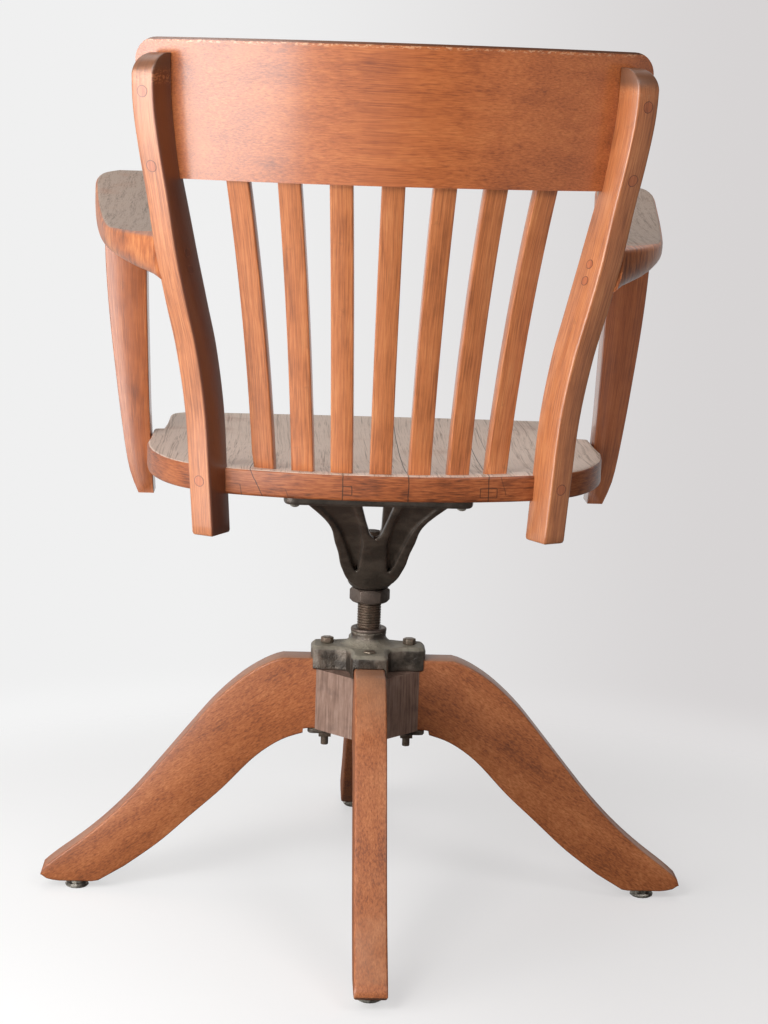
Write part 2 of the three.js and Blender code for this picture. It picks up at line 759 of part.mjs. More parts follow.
function stripSolid() {
  const half = ironStripLength / 2;
  const front = ironStripRear - ironStripWidth;
  const shape = new THREE.Shape();
  shape.moveTo(half - ironLugRound, front);
  shape.quadraticCurveTo(half, front, half, front + ironLugRound);
  shape.lineTo(half, ironStripRear - ironLugRound);
  shape.quadraticCurveTo(half, ironStripRear, half - ironLugRound, ironStripRear);
  shape.lineTo(ironLugRound - half, ironStripRear);
  shape.quadraticCurveTo(-half, ironStripRear, -half, ironStripRear - ironLugRound);
  shape.lineTo(-half, front + ironLugRound);
  shape.quadraticCurveTo(-half, front, ironLugRound - half, front);
  return slabFacingUp(shape, ironStripBottom, ironStripThickness, ironStripRound);
}

function seatIronSolid() {
  const outer = ironBossDiameter / 2;
  const inner = screwDiameter / 2 + seatGap;
  const tipHole = screwTipDiameter / 2 + seatGap;
  const crown = screwShoulderHeight + seatGap;
  const boss = turned([
    [0, ironBossBottom], [outer - ironBossChamfer, ironBossBottom],
    [outer, ironBossBottom + ironBossChamfer], [outer, ironBossTop - ironBossChamfer / 2],
    [outer - ironBossChamfer / 2, ironBossTop], [0, ironBossTop],
  ]);
  const rearHalf = forkSolid(ironRearWindow).add(stripSolid());
  const frontHalf = forkSolid(ironFrontWindow).add(stripSolid());
  const body = joined([boss, rearHalf, frontHalf.rotate([0, 0, halfDegrees])]);
  const screwHoles = seatScrewPlaces().map(([x, y]) => (
    rod(seatScrewHole, ironStripBottom - cutOverrun, ironStripTop + cutOverrun, x, y, smallSteps)
  ));
  return cut(body, [
    rod(2 * inner, ironBossBottom - cutOverrun, crown),
    rod(2 * tipHole, crown - cutOverrun, ironBossTop + cutOverrun),
    ...screwHoles,
  ]);
}

function seatScrewPlaces() {
  const side = ironStripLength / 2 - seatScrewInset;
  return [
    [side, ironStripMiddle], [-side, ironStripMiddle], [side, -ironStripMiddle], [-side, -ironStripMiddle],
  ];
}

function seatScrewSolid() {
  const headTop = ironStripBottom - seatGap;
  const head = seatScrewHeadDiameter / 2;
  const shank = seatScrewDiameter / 2;
  return turned([
    [0, headTop - seatScrewHeadHeight],
    ...seatScrewHeadShares.map(([across, down]) => [across * head, headTop - down * seatScrewHeadHeight]),
    [head, headTop], [shank, headTop], [shank, headTop + seatScrewLength - shank],
    [0, headTop + seatScrewLength],
  ], smallSteps);
}

// Seat
function seatShape() {
  const place = (across, y) => new THREE.Vector2(across * seatHalfWidth, y);
  const rear = seatRearShares.map(([across, back]) => place(across, back * seatRear));
  const mirroredRear = rear.map((point) => new THREE.Vector2(-point.x, point.y)).reverse();
  const stepDepth = supportFront - seatGap;
  const flank = seatFlankShare * seatHalfWidth;
  const step = seatStepShare * seatHalfWidth;
  const side = seatFrontHalfShare * seatHalfWidth;
  const corner = seatFrontCornerShare * seatFront;
  const [bulgeAcross, bulgeDepth] = seatFrontBulgeShares;
  const front = [
    place(bulgeAcross, -bulgeDepth * seatFront), place(0, -seatFront),
    place(-bulgeAcross, -bulgeDepth * seatFront),
  ];
  const shape = new THREE.Shape();
  shape.moveTo(0, seatRear);
  shape.splineThru(rear);
  shape.lineTo(flank, stepDepth);
  shape.lineTo(step, stepDepth - seatStepSlope);
  shape.lineTo(side, seatCornerRadius - corner);
  shape.quadraticCurveTo(side, -corner, side - seatCornerRadius, -corner);
  shape.splineThru([...front, new THREE.Vector2(seatCornerRadius - side, -corner)]);
  shape.quadraticCurveTo(-side, -corner, -side, seatCornerRadius - corner);
  shape.lineTo(-step, stepDepth - seatStepSlope);
  shape.lineTo(-flank, stepDepth);
  shape.lineTo(mirroredRear[0].x, mirroredRear[0].y);
  shape.splineThru([...mirroredRear.slice(1), new THREE.Vector2(0, seatRear)]);
  return shape;
}

function dishDepthAt(x, y, radiusShare) {
  const bowl = dishDepth * (1 - radiusShare ** 2) ** dishBowlPower;
  const frontness = THREE.MathUtils.clamp((dishMiddle - y) / dishHalfDepth, 0, 1);
  const pommel = pommelShare * frontness * Math.exp(-((x / pommelHalfWidth) ** 2));
  return bowl * (1 - pommel) - dishRimRise;
}

// The cutter of the seat's hollow: a bowl with a ridge towards the front
function dishSolid() {
  const squared = (value) => Math.sign(value) * Math.abs(value) ** dishRoundnessPower;
  const ringAt = (radiusShare, heightAt) => {
    const ring = [];
    for (let step = 0; step < dishSteps; step += 1) {
      const turn = (step / dishSteps) * fullTurn;
      const x = dishHalfWidth * radiusShare * squared(Math.cos(turn));
      const y = dishMiddle + dishHalfDepth * radiusShare * squared(Math.sin(turn));
      ring.push(new THREE.Vector3(x, y, heightAt(x, y, radiusShare)));
    }
    return ring;
  };
  const rings = [ringAt(1, () => seatTopHeight + cutOverrun)];
  for (let level = 0; level <= dishRings; level += 1) {
    const radiusShare = THREE.MathUtils.lerp(1, dishCoreShare, level / dishRings);
    rings.push(ringAt(radiusShare, (x, y, share) => seatTopHeight - dishDepthAt(x, y, share)));
  }
  return loft(rings);
}

function seatSolid(posts, slats, supports) {
  const board = slabFacingUp(seatShape(), seatBottomHeight, seatThickness, seatEdgeRound);
  const pilots = seatScrewPlaces().map(([x, y]) => rod(
    seatScrewHole, seatBottomHeight - cutOverrun, ironStripBottom + seatScrewLength + seatGap, x, y,
    smallSteps,
  ));
  return cut(board, [dishSolid(), ...posts, ...slats, ...supports, ...pilots]);
}

// Posts
function postDepthAt(share) {
  const swell = smoothValue(postDepthShares, share);
  const plain = THREE.MathUtils.lerp(postDepthBottom, postDepthTop, share);
  return plain + (postDepthMiddle - (postDepthBottom + postDepthTop) / 2) * swell;
}

// A point of the post's section: across the width from the inner edge, and forward from the back
function postPoint(share, across, forward) {
  const cornerX = postFootSpread + smoothValue(postSpreadShares, share) * postSpread;
  const cornerY = postFootBack + smoothValue(postRakeShares, share) * postRake;
  return new THREE.Vector3(
    cornerX + across * Math.cos(postToeAngle) - forward * Math.sin(postToeAngle),
    cornerY - across * Math.sin(postToeAngle) - forward * Math.cos(postToeAngle),
    postBottomHeight + share * postHeight,
  );
}

function cutCornerRing(place, left, right, near, far, cornerCut) {
  const c = Math.min(cornerCut, (right - left) / 3, (far - near) / 3);
  return [
    place(left + c, near), place(right - c, near), place(right, near + c), place(right, far - c),
    place(right - c, far), place(left + c, far), place(left, far - c), place(left, near + c),
  ];
}

// The top of a post rounds forward over its back and in over its outer side
function postBody(extra) {
  const ringAt = (height, crown, chamfer) => {
    const share = height / postHeight;
    const back = crown * postCrownForward + chamfer - extra;
    const front = postDepthAt(share) - chamfer + extra;
    const side = postWidth - crown * postCrownSide - chamfer + extra;
    const place = (across, forward) => postPoint(share, across, forward);
    return cutCornerRing(place, chamfer - extra, side, back, front, postCornerCut);
  };
  const straight = postHeight - postCrownHeight;
  const rings = [ringAt(0, 0, postFootChamfer)];
  for (let step = 0; step <= postSteps; step += 1) {
    const height = THREE.MathUtils.lerp(postFootChamfer, straight, step / postSteps);
    rings.push(ringAt(height, 0, 0));
  }
  for (let step = 1; step <= postCrownSteps; step += 1) {
    const turn = (step / postCrownSteps) * quarterTurn;
    rings.push(ringAt(straight + Math.sin(turn) * postCrownHeight, 1 - Math.cos(turn), 0));
  }
  return loft(rings);
}

// Plugs sit square to the post's face: three on the back, two on the inner side by the arm
function plugPlaces() {
  const placeOn = (share, across, forward, diameter, edge) => {
    const rise = postPoint(share + plugSlopeShare, across, forward);
    rise.sub(postPoint(share - plugSlopeShare, across, forward));
    const axis = new THREE.Vector3().crossVectors(rise, edge).normalize();
    return { point: postPoint(share, across, forward), axis, diameter };
  };
  const alongWidth = new THREE.Vector3(Math.cos(postToeAngle), -Math.sin(postToeAngle), 0);
  const alongDepth = new THREE.Vector3(Math.sin(postToeAngle), Math.cos(postToeAngle), 0);
  const back = postPlugShares.map((share) => placeOn(share, postWidth / 2, 0, plugDiameter, alongWidth));
  const side = armPlugShares.map((share) => (
    placeOn(share, 0, postDepthAt(share) / 2, armPlugDiameter, alongDepth)
  ));
  return [...back, ...side];
}

function plugGeometry(diameter, length) {
  const geometry = new THREE.CylinderGeometry(diameter / 2, diameter / 2, length, smallSteps);
  return geometry.rotateX(quarterTurn).translate(0, 0, -length / 2);
}

function turnTo(axis) {
  return new THREE.Quaternion().setFromUnitVectors(new THREE.Vector3(0, 0, 1), axis);
}

function plugHole(place) {
  const geometry = plugGeometry(place.diameter + 2 * seatGap, plugLength + seatGap + cutOverrun);
  geometry.translate(0, 0, cutOverrun).applyQuaternion(turnTo(place.axis));
  return solidFrom(geometry.translate(place.point.x, place.point.y, place.point.z));
}

// Top rail
function arcDrop(radius, across) {
  return radius - Math.sqrt(radius ** 2 - across ** 2);
}

function railFaceShape(half, crest) {
  const top = crest + cutOverrun;
  const bottom = railBottomHeight - cutOverrun;
  const corner = half - railCornerRadius;
  const shape = new THREE.Shape();
  shape.moveTo(railEndSlant - half, bottom);
  shape.lineTo(half - railEndSlant, bottom);
  shape.lineTo(half, crest - railCornerRadius);
  shape.quadraticCurveTo(half, crest, corner, crest);
  shape.lineTo(corner, top);
  shape.lineTo(-corner, top);
  shape.lineTo(-corner, crest);
  shape.quadraticCurveTo(-half, crest, -half, crest - railCornerRadius);
  return shape;
}

function railBody(extra) {
  const outer = railBackRadius + extra;
  const inner = railBackRadius - railThickness - extra;
  const halfAngle = Math.asin(railHalfLength / inner);
  const centre = railBackMiddle - railBackRadius;
  const shape = new THREE.Shape();
  shape.absarc(0, centre, outer, quarterTurn - halfAngle, quarterTurn + halfAngle, false);
  shape.absarc(0, centre, inner, quarterTurn + halfAngle, quarterTurn - halfAngle, true);
  const geometry = new THREE.ExtrudeGeometry(shape, {
    depth: railHeight + 2 * extra - 2 * railEdgeRound,
    bevelEnabled: true,
    bevelSize: railEdgeRound,
    bevelThickness: railEdgeRound,
    bevelOffset: -railEdgeRound,
    bevelSegments: roundingSteps,
    curveSegments: railSteps,
  });
  const rake = new THREE.Matrix4().makeShear(0, 0, 0, 0, 0, railRakeShare);
  geometry.translate(0, 0, railEdgeRound - extra).applyMatrix4(rake).translate(0, 0, railBottomHeight);
  const face = railFaceShape(railHalfLength + extra, railBottomHeight + railHeight + extra);
  return solidFrom(geometry).intersect(slabFacingBack(face, 2 * railBackRadius));
}

// Slats
function slatPoint(index, share, across, forward) {
  const offset = (slatCount - 1) / 2 - index;
  const toe = THREE.MathUtils.degToRad(offset * slatToeStep);
  const footX = offset * slatSeatSpacing;
  const headX = offset * slatRailSpacing;
  const footY = slatSeatBack - arcDrop(slatSeatRadius, footX);
  const headY = railBackMiddle - slatRailInset - arcDrop(railBackRadius, headX);
  const bow = slatBow * 4 * share * (1 - share);
  return new THREE.Vector3(
    THREE.MathUtils.lerp(footX, headX, share) + across * Math.cos(toe) - (bow + forward) * Math.sin(toe),
    THREE.MathUtils.lerp(footY, headY, share) - across * Math.sin(toe) - (bow + forward) * Math.cos(toe),
    seatTopHeight + share * slatRise,
  );
}

function slatBody(index, extra) {
  const tenonShare = (slatTenon + extra) / slatRise;
  const half = slatWidth / 2 + extra;
  const rings = [];
  for (let step = 0; step <= slatSteps; step += 1) {
    const share = -tenonShare + (step / slatSteps) * (1 + 2 * tenonShare);
    const place = (across, forward) => slatPoint(index, share, across, forward);
    rings.push(cutCornerRing(place, -half, half, -extra, slatThickness + extra, slatCornerCut));
  }
  return loft(rings);
}

// Arms
function armSection([along, innerShare, outerShare, roundShare], extra) {
  const top = armTopRear + armTopClimb * along ** 2;
  const thinning = THREE.MathUtils.smoothstep(along, ...armThinningShares);
  const height = THREE.MathUtils.lerp(armRearThickness, armFrontThickness, thinning) + extra;
  const bottom = top - height;
  const inner = innerShare * armOuterReach;
  const outer = outerShare * armOuterReach;
  const width = outer - inner;
  const edge = Math.min(armEdgeRound, armEdgeLimitShare * width);
  const roundX = Math.min(roundShare * width, width - edge);
  const roundZ = Math.min(roundShare * height, height - edge);
  const [nearShare, farShare] = armEdgeShares;
  const ring = [[inner, bottom + edge], [inner + edge * nearShare, bottom + edge * nearShare]];
  for (let step = 0; step <= armArcSteps; step += 1) {
    const turn = (step / armArcSteps) * quarterTurn;
    const across = Math.sin(turn) ** armRoundnessPower;
    const down = Math.cos(turn) ** armRoundnessPower;
    ring.push([outer - roundX + across * roundX, bottom + roundZ - down * roundZ]);
  }
  ring.push([outer, top - edge * farShare], [outer - edge * nearShare, top - edge * nearShare]);
  ring.push([outer - edge * farShare, top], [inner + edge * farShare, top]);
  ring.push([inner + edge * nearShare, top - edge * nearShare], [inner, top - edge * farShare]);
  return ring.map(([x, z]) => new THREE.Vector3(x, armRearDepth - along * armLength, z));
}

function armBody(extra) {
  return loft(armStationShares.map((station) => armSection(station, extra)));
}

// Arm supports
function supportBody(extra) {
  const rings = supportLevelShares.map((share) => {
    const height = THREE.MathUtils.lerp(supportBottomHeight, supportTopHeight, share);
    const inner = supportInnerBottom + smoothValue(supportInnerShares, share) * supportReach;
    const outer = supportInnerBottom + smoothValue(supportOuterShares, share) * supportReach;
    const place = (x, y) => new THREE.Vector3(x, y, height);
    return cutCornerRing(
      place, inner - extra, outer + extra, supportFront - extra, supportRear + extra, supportCornerCut,
    );
  });
  return loft(rings);
}

// Assembly
const materials = {
  varnished: new THREE.MeshStandardMaterial(woodVarnished),
  worn: new THREE.MeshStandardMaterial(woodWorn),
  hub: new THREE.MeshStandardMaterial(woodHub),
  iron: new THREE.MeshStandardMaterial(castIron),
  rusty: new THREE.MeshStandardMaterial(rustySteel),
  steel: new THREE.MeshStandardMaterial(brightSteel),
};

function part(name, solid, material) {
  const geometry = solid.isBufferGeometry ? solid : geometryFrom(solid);
  const mesh = new THREE.Mesh(geometry, material.clone());
  mesh.name = name;
  return mesh;
}

const mirrored = (solid) => solid.mirror([1, 0, 0]);

function baseGroup() {
  const base = new THREE.Group();
  const legGeometry = geometryFrom(legSolid());
  const glideGeometry = geometryFrom(glideSolid());
  const boltGeometry = geometryFrom(hubBoltSolid(boltHeadHeight));
  const rearBoltGeometry = geometryFrom(hubBoltSolid(rearBoltHeadHeight));
  const nutGeometry = geometryFrom(hubNutSolid());
  const sides = ['left', 'rear', 'right', 'front'];
  sides.forEach((side, index) => {
    const turn = index * quarterTurn;
    const arm = new THREE.Group();
    arm.rotation.z = turn;
    const leg = part(`leg_${side}`, legGeometry, materials.varnished);
    const glide = part(`glide_${side}`, glideGeometry, materials.steel);
    glide.position.x = glideRadius;
    const headGeometry = side === 'rear' ? rearBoltGeometry : boltGeometry;
    const bolt = part(`hub_bolt_${side}`, headGeometry, materials.rusty);
    bolt.position.x = boltCircleRadius;
    const nut = part(`hub_bolt_nut_${side}`, nutGeometry, materials.rusty);
    nut.position.x = boltCircleRadius;
    arm.add(leg, glide, bolt, nut);
    base.add(arm);
  });
  base.add(part('hub_block', hubBlockSolid(), materials.hub));
  base.add(part('hub_bottom_plate', bottomPlateSolid(), materials.iron));
  base.add(part('hub_spider', spiderSolid(), materials.iron));
  return base;
}

function spindleGroup() {
  const spindle = new THREE.Group();
  spindle.add(part('screw_bush', bushSolid(), materials.rusty));
  spindle.add(part('screw_spindle', screwSolid(), materials.rusty));
  spindle.add(part('screw_cross_pin', crossPin(crossPinDiameter, crossPinLength), materials.rusty));
  spindle.add(part('lock_nut', lockNutSolid(), materials.rusty));
  spindle.add(part('seat_iron', seatIronSolid(), materials.iron));
  const screwGeometry = geometryFrom(seatScrewSolid());
  const names = ['rear_left', 'rear_right', 'front_left', 'front_right'];
  seatScrewPlaces().forEach(([x, y], index) => {
    const screw = part(`seat_screw_${names[index]}`, screwGeometry, materials.steel);
    screw.position.set(x, y, 0);
    spindle.add(screw);
  });
  return spindle;
}

function seatGroup() {
  const group = new THREE.Group();
  const railCutter = railBody(seatGap);
  const places = plugPlaces();
  const holes = places.map(plugHole);
  const leftPost = cut(postBody(0), [railCutter, ...holes]);
  const postCutter = postBody(seatGap);
  const leftArm = armBody(0).subtract(postCutter);
  const leftSupport = supportBody(0).subtract(armBody(seatGap).subtract(postCutter));
  const slatIndices = [...Array(slatCount).keys()];
  const slatCutters = slatIndices.map((index) => slatBody(index, seatGap));
  const supportCutter = supportBody(seatGap);
  const seat = seatSolid(
    [postCutter, mirrored(postCutter)], slatCutters, [supportCutter, mirrored(supportCutter)],
  );
  group.add(part('seat_board', seat, materials.worn));
  group.add(part('top_rail', cut(railBody(0), slatCutters), materials.varnished));
  slatIndices.forEach((index) => {
    group.add(part(`back_slat_${index + 1}`, slatBody(index, 0), materials.varnished));
  });
  [['left', 1], ['right', -1]].forEach(([side, sign]) => {
    const handed = (solid) => (sign > 0 ? solid : mirrored(solid));
    group.add(part(`rear_post_${side}`, handed(leftPost), materials.varnished));
    group.add(part(`arm_${side}`, handed(leftArm), materials.worn));
    group.add(part(`arm_support_${side}`, handed(leftSupport), materials.varnished));
    places.forEach((place, index) => {
      const plug = part(
        `post_plug_${side}_${index + 1}`, plugGeometry(place.diameter, plugLength), materials.varnished,
      );
      plug.position.set(sign * place.point.x, place.point.y, place.point.z);
      plug.quaternion.copy(turnTo(new THREE.Vector3(sign * place.axis.x, place.axis.y, place.axis.z)));
      group.add(plug);
    });
  });
  return group;
}

const chair = new THREE.Group();
chair.name = 'bankers_swivel_chair';
chair.add(baseGroup());
chair.add(spindleGroup());
chair.add(seatGroup());

export default chair;
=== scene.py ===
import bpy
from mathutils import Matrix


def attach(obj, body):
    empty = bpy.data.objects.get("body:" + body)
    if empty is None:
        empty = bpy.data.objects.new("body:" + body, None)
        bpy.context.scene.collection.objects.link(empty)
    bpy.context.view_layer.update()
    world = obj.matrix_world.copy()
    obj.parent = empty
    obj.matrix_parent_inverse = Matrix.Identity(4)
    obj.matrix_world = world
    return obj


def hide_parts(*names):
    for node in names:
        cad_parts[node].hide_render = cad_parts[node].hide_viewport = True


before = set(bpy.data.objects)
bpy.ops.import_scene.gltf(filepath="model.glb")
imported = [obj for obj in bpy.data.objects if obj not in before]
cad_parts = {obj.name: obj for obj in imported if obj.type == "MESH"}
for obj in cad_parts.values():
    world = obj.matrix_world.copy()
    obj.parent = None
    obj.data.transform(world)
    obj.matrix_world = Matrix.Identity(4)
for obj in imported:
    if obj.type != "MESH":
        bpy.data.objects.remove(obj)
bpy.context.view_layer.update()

import math

import bmesh
import bpy
from mathutils import Matrix, Vector

mm = 0.001

# Legs
# Four legs, each sawn in one long sweep out of a thick plank, stained orange-brown and varnished.
# The tenon end is housed in the hub and held by one long bolt; the upper edges are rubbed pale,
# partly worn and partly painted highlight.
leg_reach = 343 * mm
leg_top = 260 * mm
leg_thickness = 32 * mm
leg_inner_end = 28 * mm
leg_top_curve = [
    (0.268, 1), (0.324, 0.967), (0.391, 0.908), (0.469, 0.812), (0.548, 0.687), (0.624, 0.562),
    (0.707, 0.429), (0.787, 0.317), (0.867, 0.223), (0.956, 0.133), (0.994, 0.09),
]
leg_belly = [
    (0.1953, 0.6865), (0.254, 0.66), (0.31, 0.615), (0.362, 0.556), (0.443, 0.442), (0.536, 0.329),
    (0.636, 0.208), (0.741, 0.104),
]
leg_sole = [(0.826, 0.0365), (0.939, 0.0365), (0.976, 0.042), (1, 0.064)]
leg_heel = [(0.08, 0.706), (0.195, 0.706)]
leg_board_height = 76.5 * mm
leg_corner = 2.4 * mm
leg_rows = 46
leg_heel_end = 67 * mm
leg_end_gap = 0.2 * mm
leg_slope = math.radians(-33)
quarters = ("left", "rear", "right", "front")


def open_up(piece):
    """Leaves every other piece unselected and opens this one in edit mode, all of it selected."""
    bpy.ops.object.select_all(action="DESELECT")
    bpy.context.view_layer.objects.active = piece
    piece.select_set(True)
    bpy.ops.object.mode_set(mode="EDIT")
    bpy.ops.mesh.select_all(action="SELECT")


def close_up():
    bpy.ops.object.mode_set(mode="OBJECT")


def begin(name, primitive, **settings):
    """A new primitive at its size and place, with nothing else selected."""
    bpy.ops.object.select_all(action="DESELECT")
    primitive(**settings)
    bpy.ops.object.transform_apply()
    bpy.context.object.name = name
    return bpy.context.object


def pick_edges(rule):
    """Selects the edges of the open piece whose two ends the rule wants."""
    bpy.ops.mesh.select_mode(type="EDGE")
    mesh = bmesh.from_edit_mesh(bpy.context.object.data)
    for edge in mesh.edges:
        edge.select = rule(*[point.co for point in edge.verts])
    mesh.select_flush_mode()
    bmesh.update_edit_mesh(bpy.context.object.data)


def saw_rows(levels, along):
    """Cuts the open piece across at each level along a direction."""
    for level in levels:
        bpy.ops.mesh.select_all(action="SELECT")
        bpy.ops.mesh.bisect(plane_co=level * along, plane_no=along)


def rows(length, count):
    return [length * row / count for row in range(1, count)]


def stick(name, low, high, levels, corner, along=Vector((0, 0, 1))):
    """A straight squared stick between two corners, its long edges rounded, cut across in rows."""
    low, high = Vector(low), Vector(high)
    middle = (low + high) / 2
    piece = begin(name, bpy.ops.mesh.primitive_cube_add, size=1, location=middle, scale=high - low)
    open_up(piece)
    pick_edges(lambda start, end: abs((end - start).dot(along)) > 0.001)
    bpy.ops.mesh.bevel(offset=corner, segments=3, affect="EDGES")
    saw_rows(levels, along)
    close_up()
    return piece


def keep_grain(piece, shift, axes=Matrix.Identity(3)):
    """Writes on each point where it lies in the wood: across, across and along the fibres."""
    store = piece.data.attributes.new("grain", "FLOAT_VECTOR", "POINT")
    for point, kept in zip(piece.data.vertices, store.data):
        kept.vector = axes @ point.co + Vector(shift)


def bend(piece, rule):
    """Moves each point of the straight piece to its place in the bent one."""
    for point in piece.data.vertices:
        point.co = rule(*point.co)


def finish_off(piece, *materials, angle=35):
    """Turns all faces outwards, smooths what isn't a sharp edge and puts the materials on."""
    open_up(piece)
    bpy.ops.mesh.remove_doubles(threshold=0.01 * mm)
    bpy.ops.mesh.normals_make_consistent(inside=False)
    close_up()
    bpy.ops.object.shade_smooth_by_angle(angle=math.radians(angle))
    for material in materials:
        piece.data.materials.append(material)


def copy_of(piece, name, grain_shift):
    """A copy with its own mesh and its own stretch of the same timber."""
    twin = piece.copy()
    twin.data = piece.data.copy()
    twin.name = name
    bpy.context.collection.objects.link(twin)
    for kept in twin.data.attributes["grain"].data:
        kept.vector += Vector(grain_shift)
    return twin


def smooth_line(points, steps=6):
    """A curve through the points, as a list of close points."""
    line = []
    last = len(points) - 1
    for start in range(last):
        before, here, there, after = (
            Vector(points[min(max(start + step, 0), last)]) for step in (-1, 0, 1, 2)
        )
        for step in range(steps):
            t = step / steps
            line.append(0.5 * (
                2 * here + (there - before) * t
                + (2 * before - 5 * here + 4 * there - after) * t ** 2
                + (3 * here - before - 3 * there + after) * t ** 3
            ))
    return line + [Vector(points[last])]


def height_on(line, along):
    """The height of a line at a place along it."""
    for start, end in zip(line, line[1:]):
        if start.x <= along <= end.x:
            return start.y + (end.y - start.y) * (along - start.x) / max(end.x - start.x, 1e-9)
    return line[-1].y if along > line[-1].x else line[0].y


class Value:
    """One socket of a finish: sums written with it add their Math nodes."""

    def __init__(self, finish, socket):
        self.finish = finish
        self.socket = socket

    def reckon(self, operation, *values):
        return self.finish.node("Math", {"operation": operation}, dict(enumerate(values)))

    def __add__(self, other):
        return self.reckon("ADD", self, other)

    __radd__ = __add__

    def __sub__(self, other):
        return self.reckon("SUBTRACT", self, other)

    def __rsub__(self, other):
        return self.reckon("SUBTRACT", other, self)

    def __mul__(self, other):
        return self.reckon("MULTIPLY", self, other)

    __rmul__ = __mul__

    def __abs__(self):
        return self.reckon("ABSOLUTE", self)


class Finish:
    """A material or a sky, built node by node."""

    def __init__(self, name, owners=bpy.data.materials):
        self.owner = owners.new(name)
        self.owner.use_nodes = True
        self.tree = self.owner.node_tree
        self.tree.nodes.clear()

    def node(self, kind, settings, sockets, out=0):
        made = self.tree.nodes.new("ShaderNode" + kind)
        for setting, value in settings.items():
            setattr(made, setting, value)
        for socket, value in sockets.items():
            if isinstance(value, Value):
                self.tree.links.new(value.socket, made.inputs[socket])
            else:
                made.inputs[socket].default_value = value
        return Value(self, made.outputs[out])

    def place(self):
        return self.node("TexCoord", {}, {}, "Object")

    def scaled(self, place, scale):
        return self.node("VectorMath", {"operation": "MULTIPLY"}, {0: place, 1: scale})

    def noise(self, place, scale, detail=2, roughness=0.5):
        where = self.scaled(place, scale)
        return self.node("TexNoise", {}, {
            "Vector": where, "Scale": 1, "Detail": detail, "Roughness": roughness,
        })

    def wavy_grain(self, scale, amount):
        """The place in the timber, and the same place swayed a little, so that fibres wander."""
        grain = self.node("Attribute", {"attribute_name": "grain"}, {}, "Vector")
        where = self.scaled(grain, scale)
        sway = self.node("TexNoise", {}, {"Vector": where, "Scale": 1}, "Color")
        moved = {0: sway, 1: (amount, amount, 0), 2: grain}
        return grain, self.node("VectorMath", {"operation": "MULTIPLY_ADD"}, moved)

    def step(self, value, low, high):
        return self.node("MapRange", {"interpolation_type": "SMOOTHSTEP"}, {
            "Value": value, "From Min": low, "From Max": high,
        })

    def within(self, value, low, high):
        """1 between two places, with a blur of a few tenths of a millimetre at either."""
        return self.step(value, low - joint_blur, low + joint_blur) * (
            1 - self.step(value, high - joint_blur, high + joint_blur)
        )

    def mix(self, share, first, second):
        colours = {6: tone(first), 7: tone(second)}
        return self.node("Mix", {"data_type": "RGBA"}, {0: share, **colours}, 2)

    def ramp(self, share, stops):
        made = self.node("ValToRGB", {}, {"Fac": share})
        elements = made.socket.node.color_ramp.elements
        while len(elements) < len(stops):
            elements.new(1)
        for element, (position, colour) in zip(elements, stops):
            element.position = position
            element.color = tone(colour)
        return made

    def parts(self, vector):
        return [self.node("SeparateXYZ", {}, {0: vector}, axis) for axis in range(3)]

    def ray(self, kind):
        """1 where this kind of ray meets the surface, 0 for all others."""
        return self.node("LightPath", {}, {}, f"Is {kind} Ray")

    def upward(self):
        return self.parts(self.node("NewGeometry", {}, {}, "Normal"))[2]

    def edges(self, radius):
        """1 on an outer or inner edge, 0 on the flat."""
        face = self.node("NewGeometry", {}, {}, "Normal")
        rounded = self.node("Bevel", {"samples": 6}, {"Radius": radius})
        flat = self.node("VectorMath", {"operation": "DOT_PRODUCT"}, {0: rounded, 1: face}, 1)
        return 1 - flat

    def close(self, sockets, height, depth):
        normal = self.node("Bump", {}, {"Height": height, "Distance": depth, "Strength": 0.6})
        shade = self.node("BsdfPrincipled", {}, {**sockets, "Normal": normal})
        self.show(shade)
        return self.owner

    def show(self, shade, kind="Material"):
        out = self.tree.nodes.new("ShaderNodeOutput" + kind)
        self.tree.links.new(shade.socket, out.inputs["Surface"])


def tone(colour):
    """A colour as seen on a screen, as the light that a shader wants; a socket stays as it is."""
    if isinstance(colour, Value):
        return colour
    shares = [part / 255 for part in colour]
    return [
        share / 12.92 if share <= 0.04045 else ((share + 0.055) / 1.055) ** 2.4 for share in shares
    ] + [1]


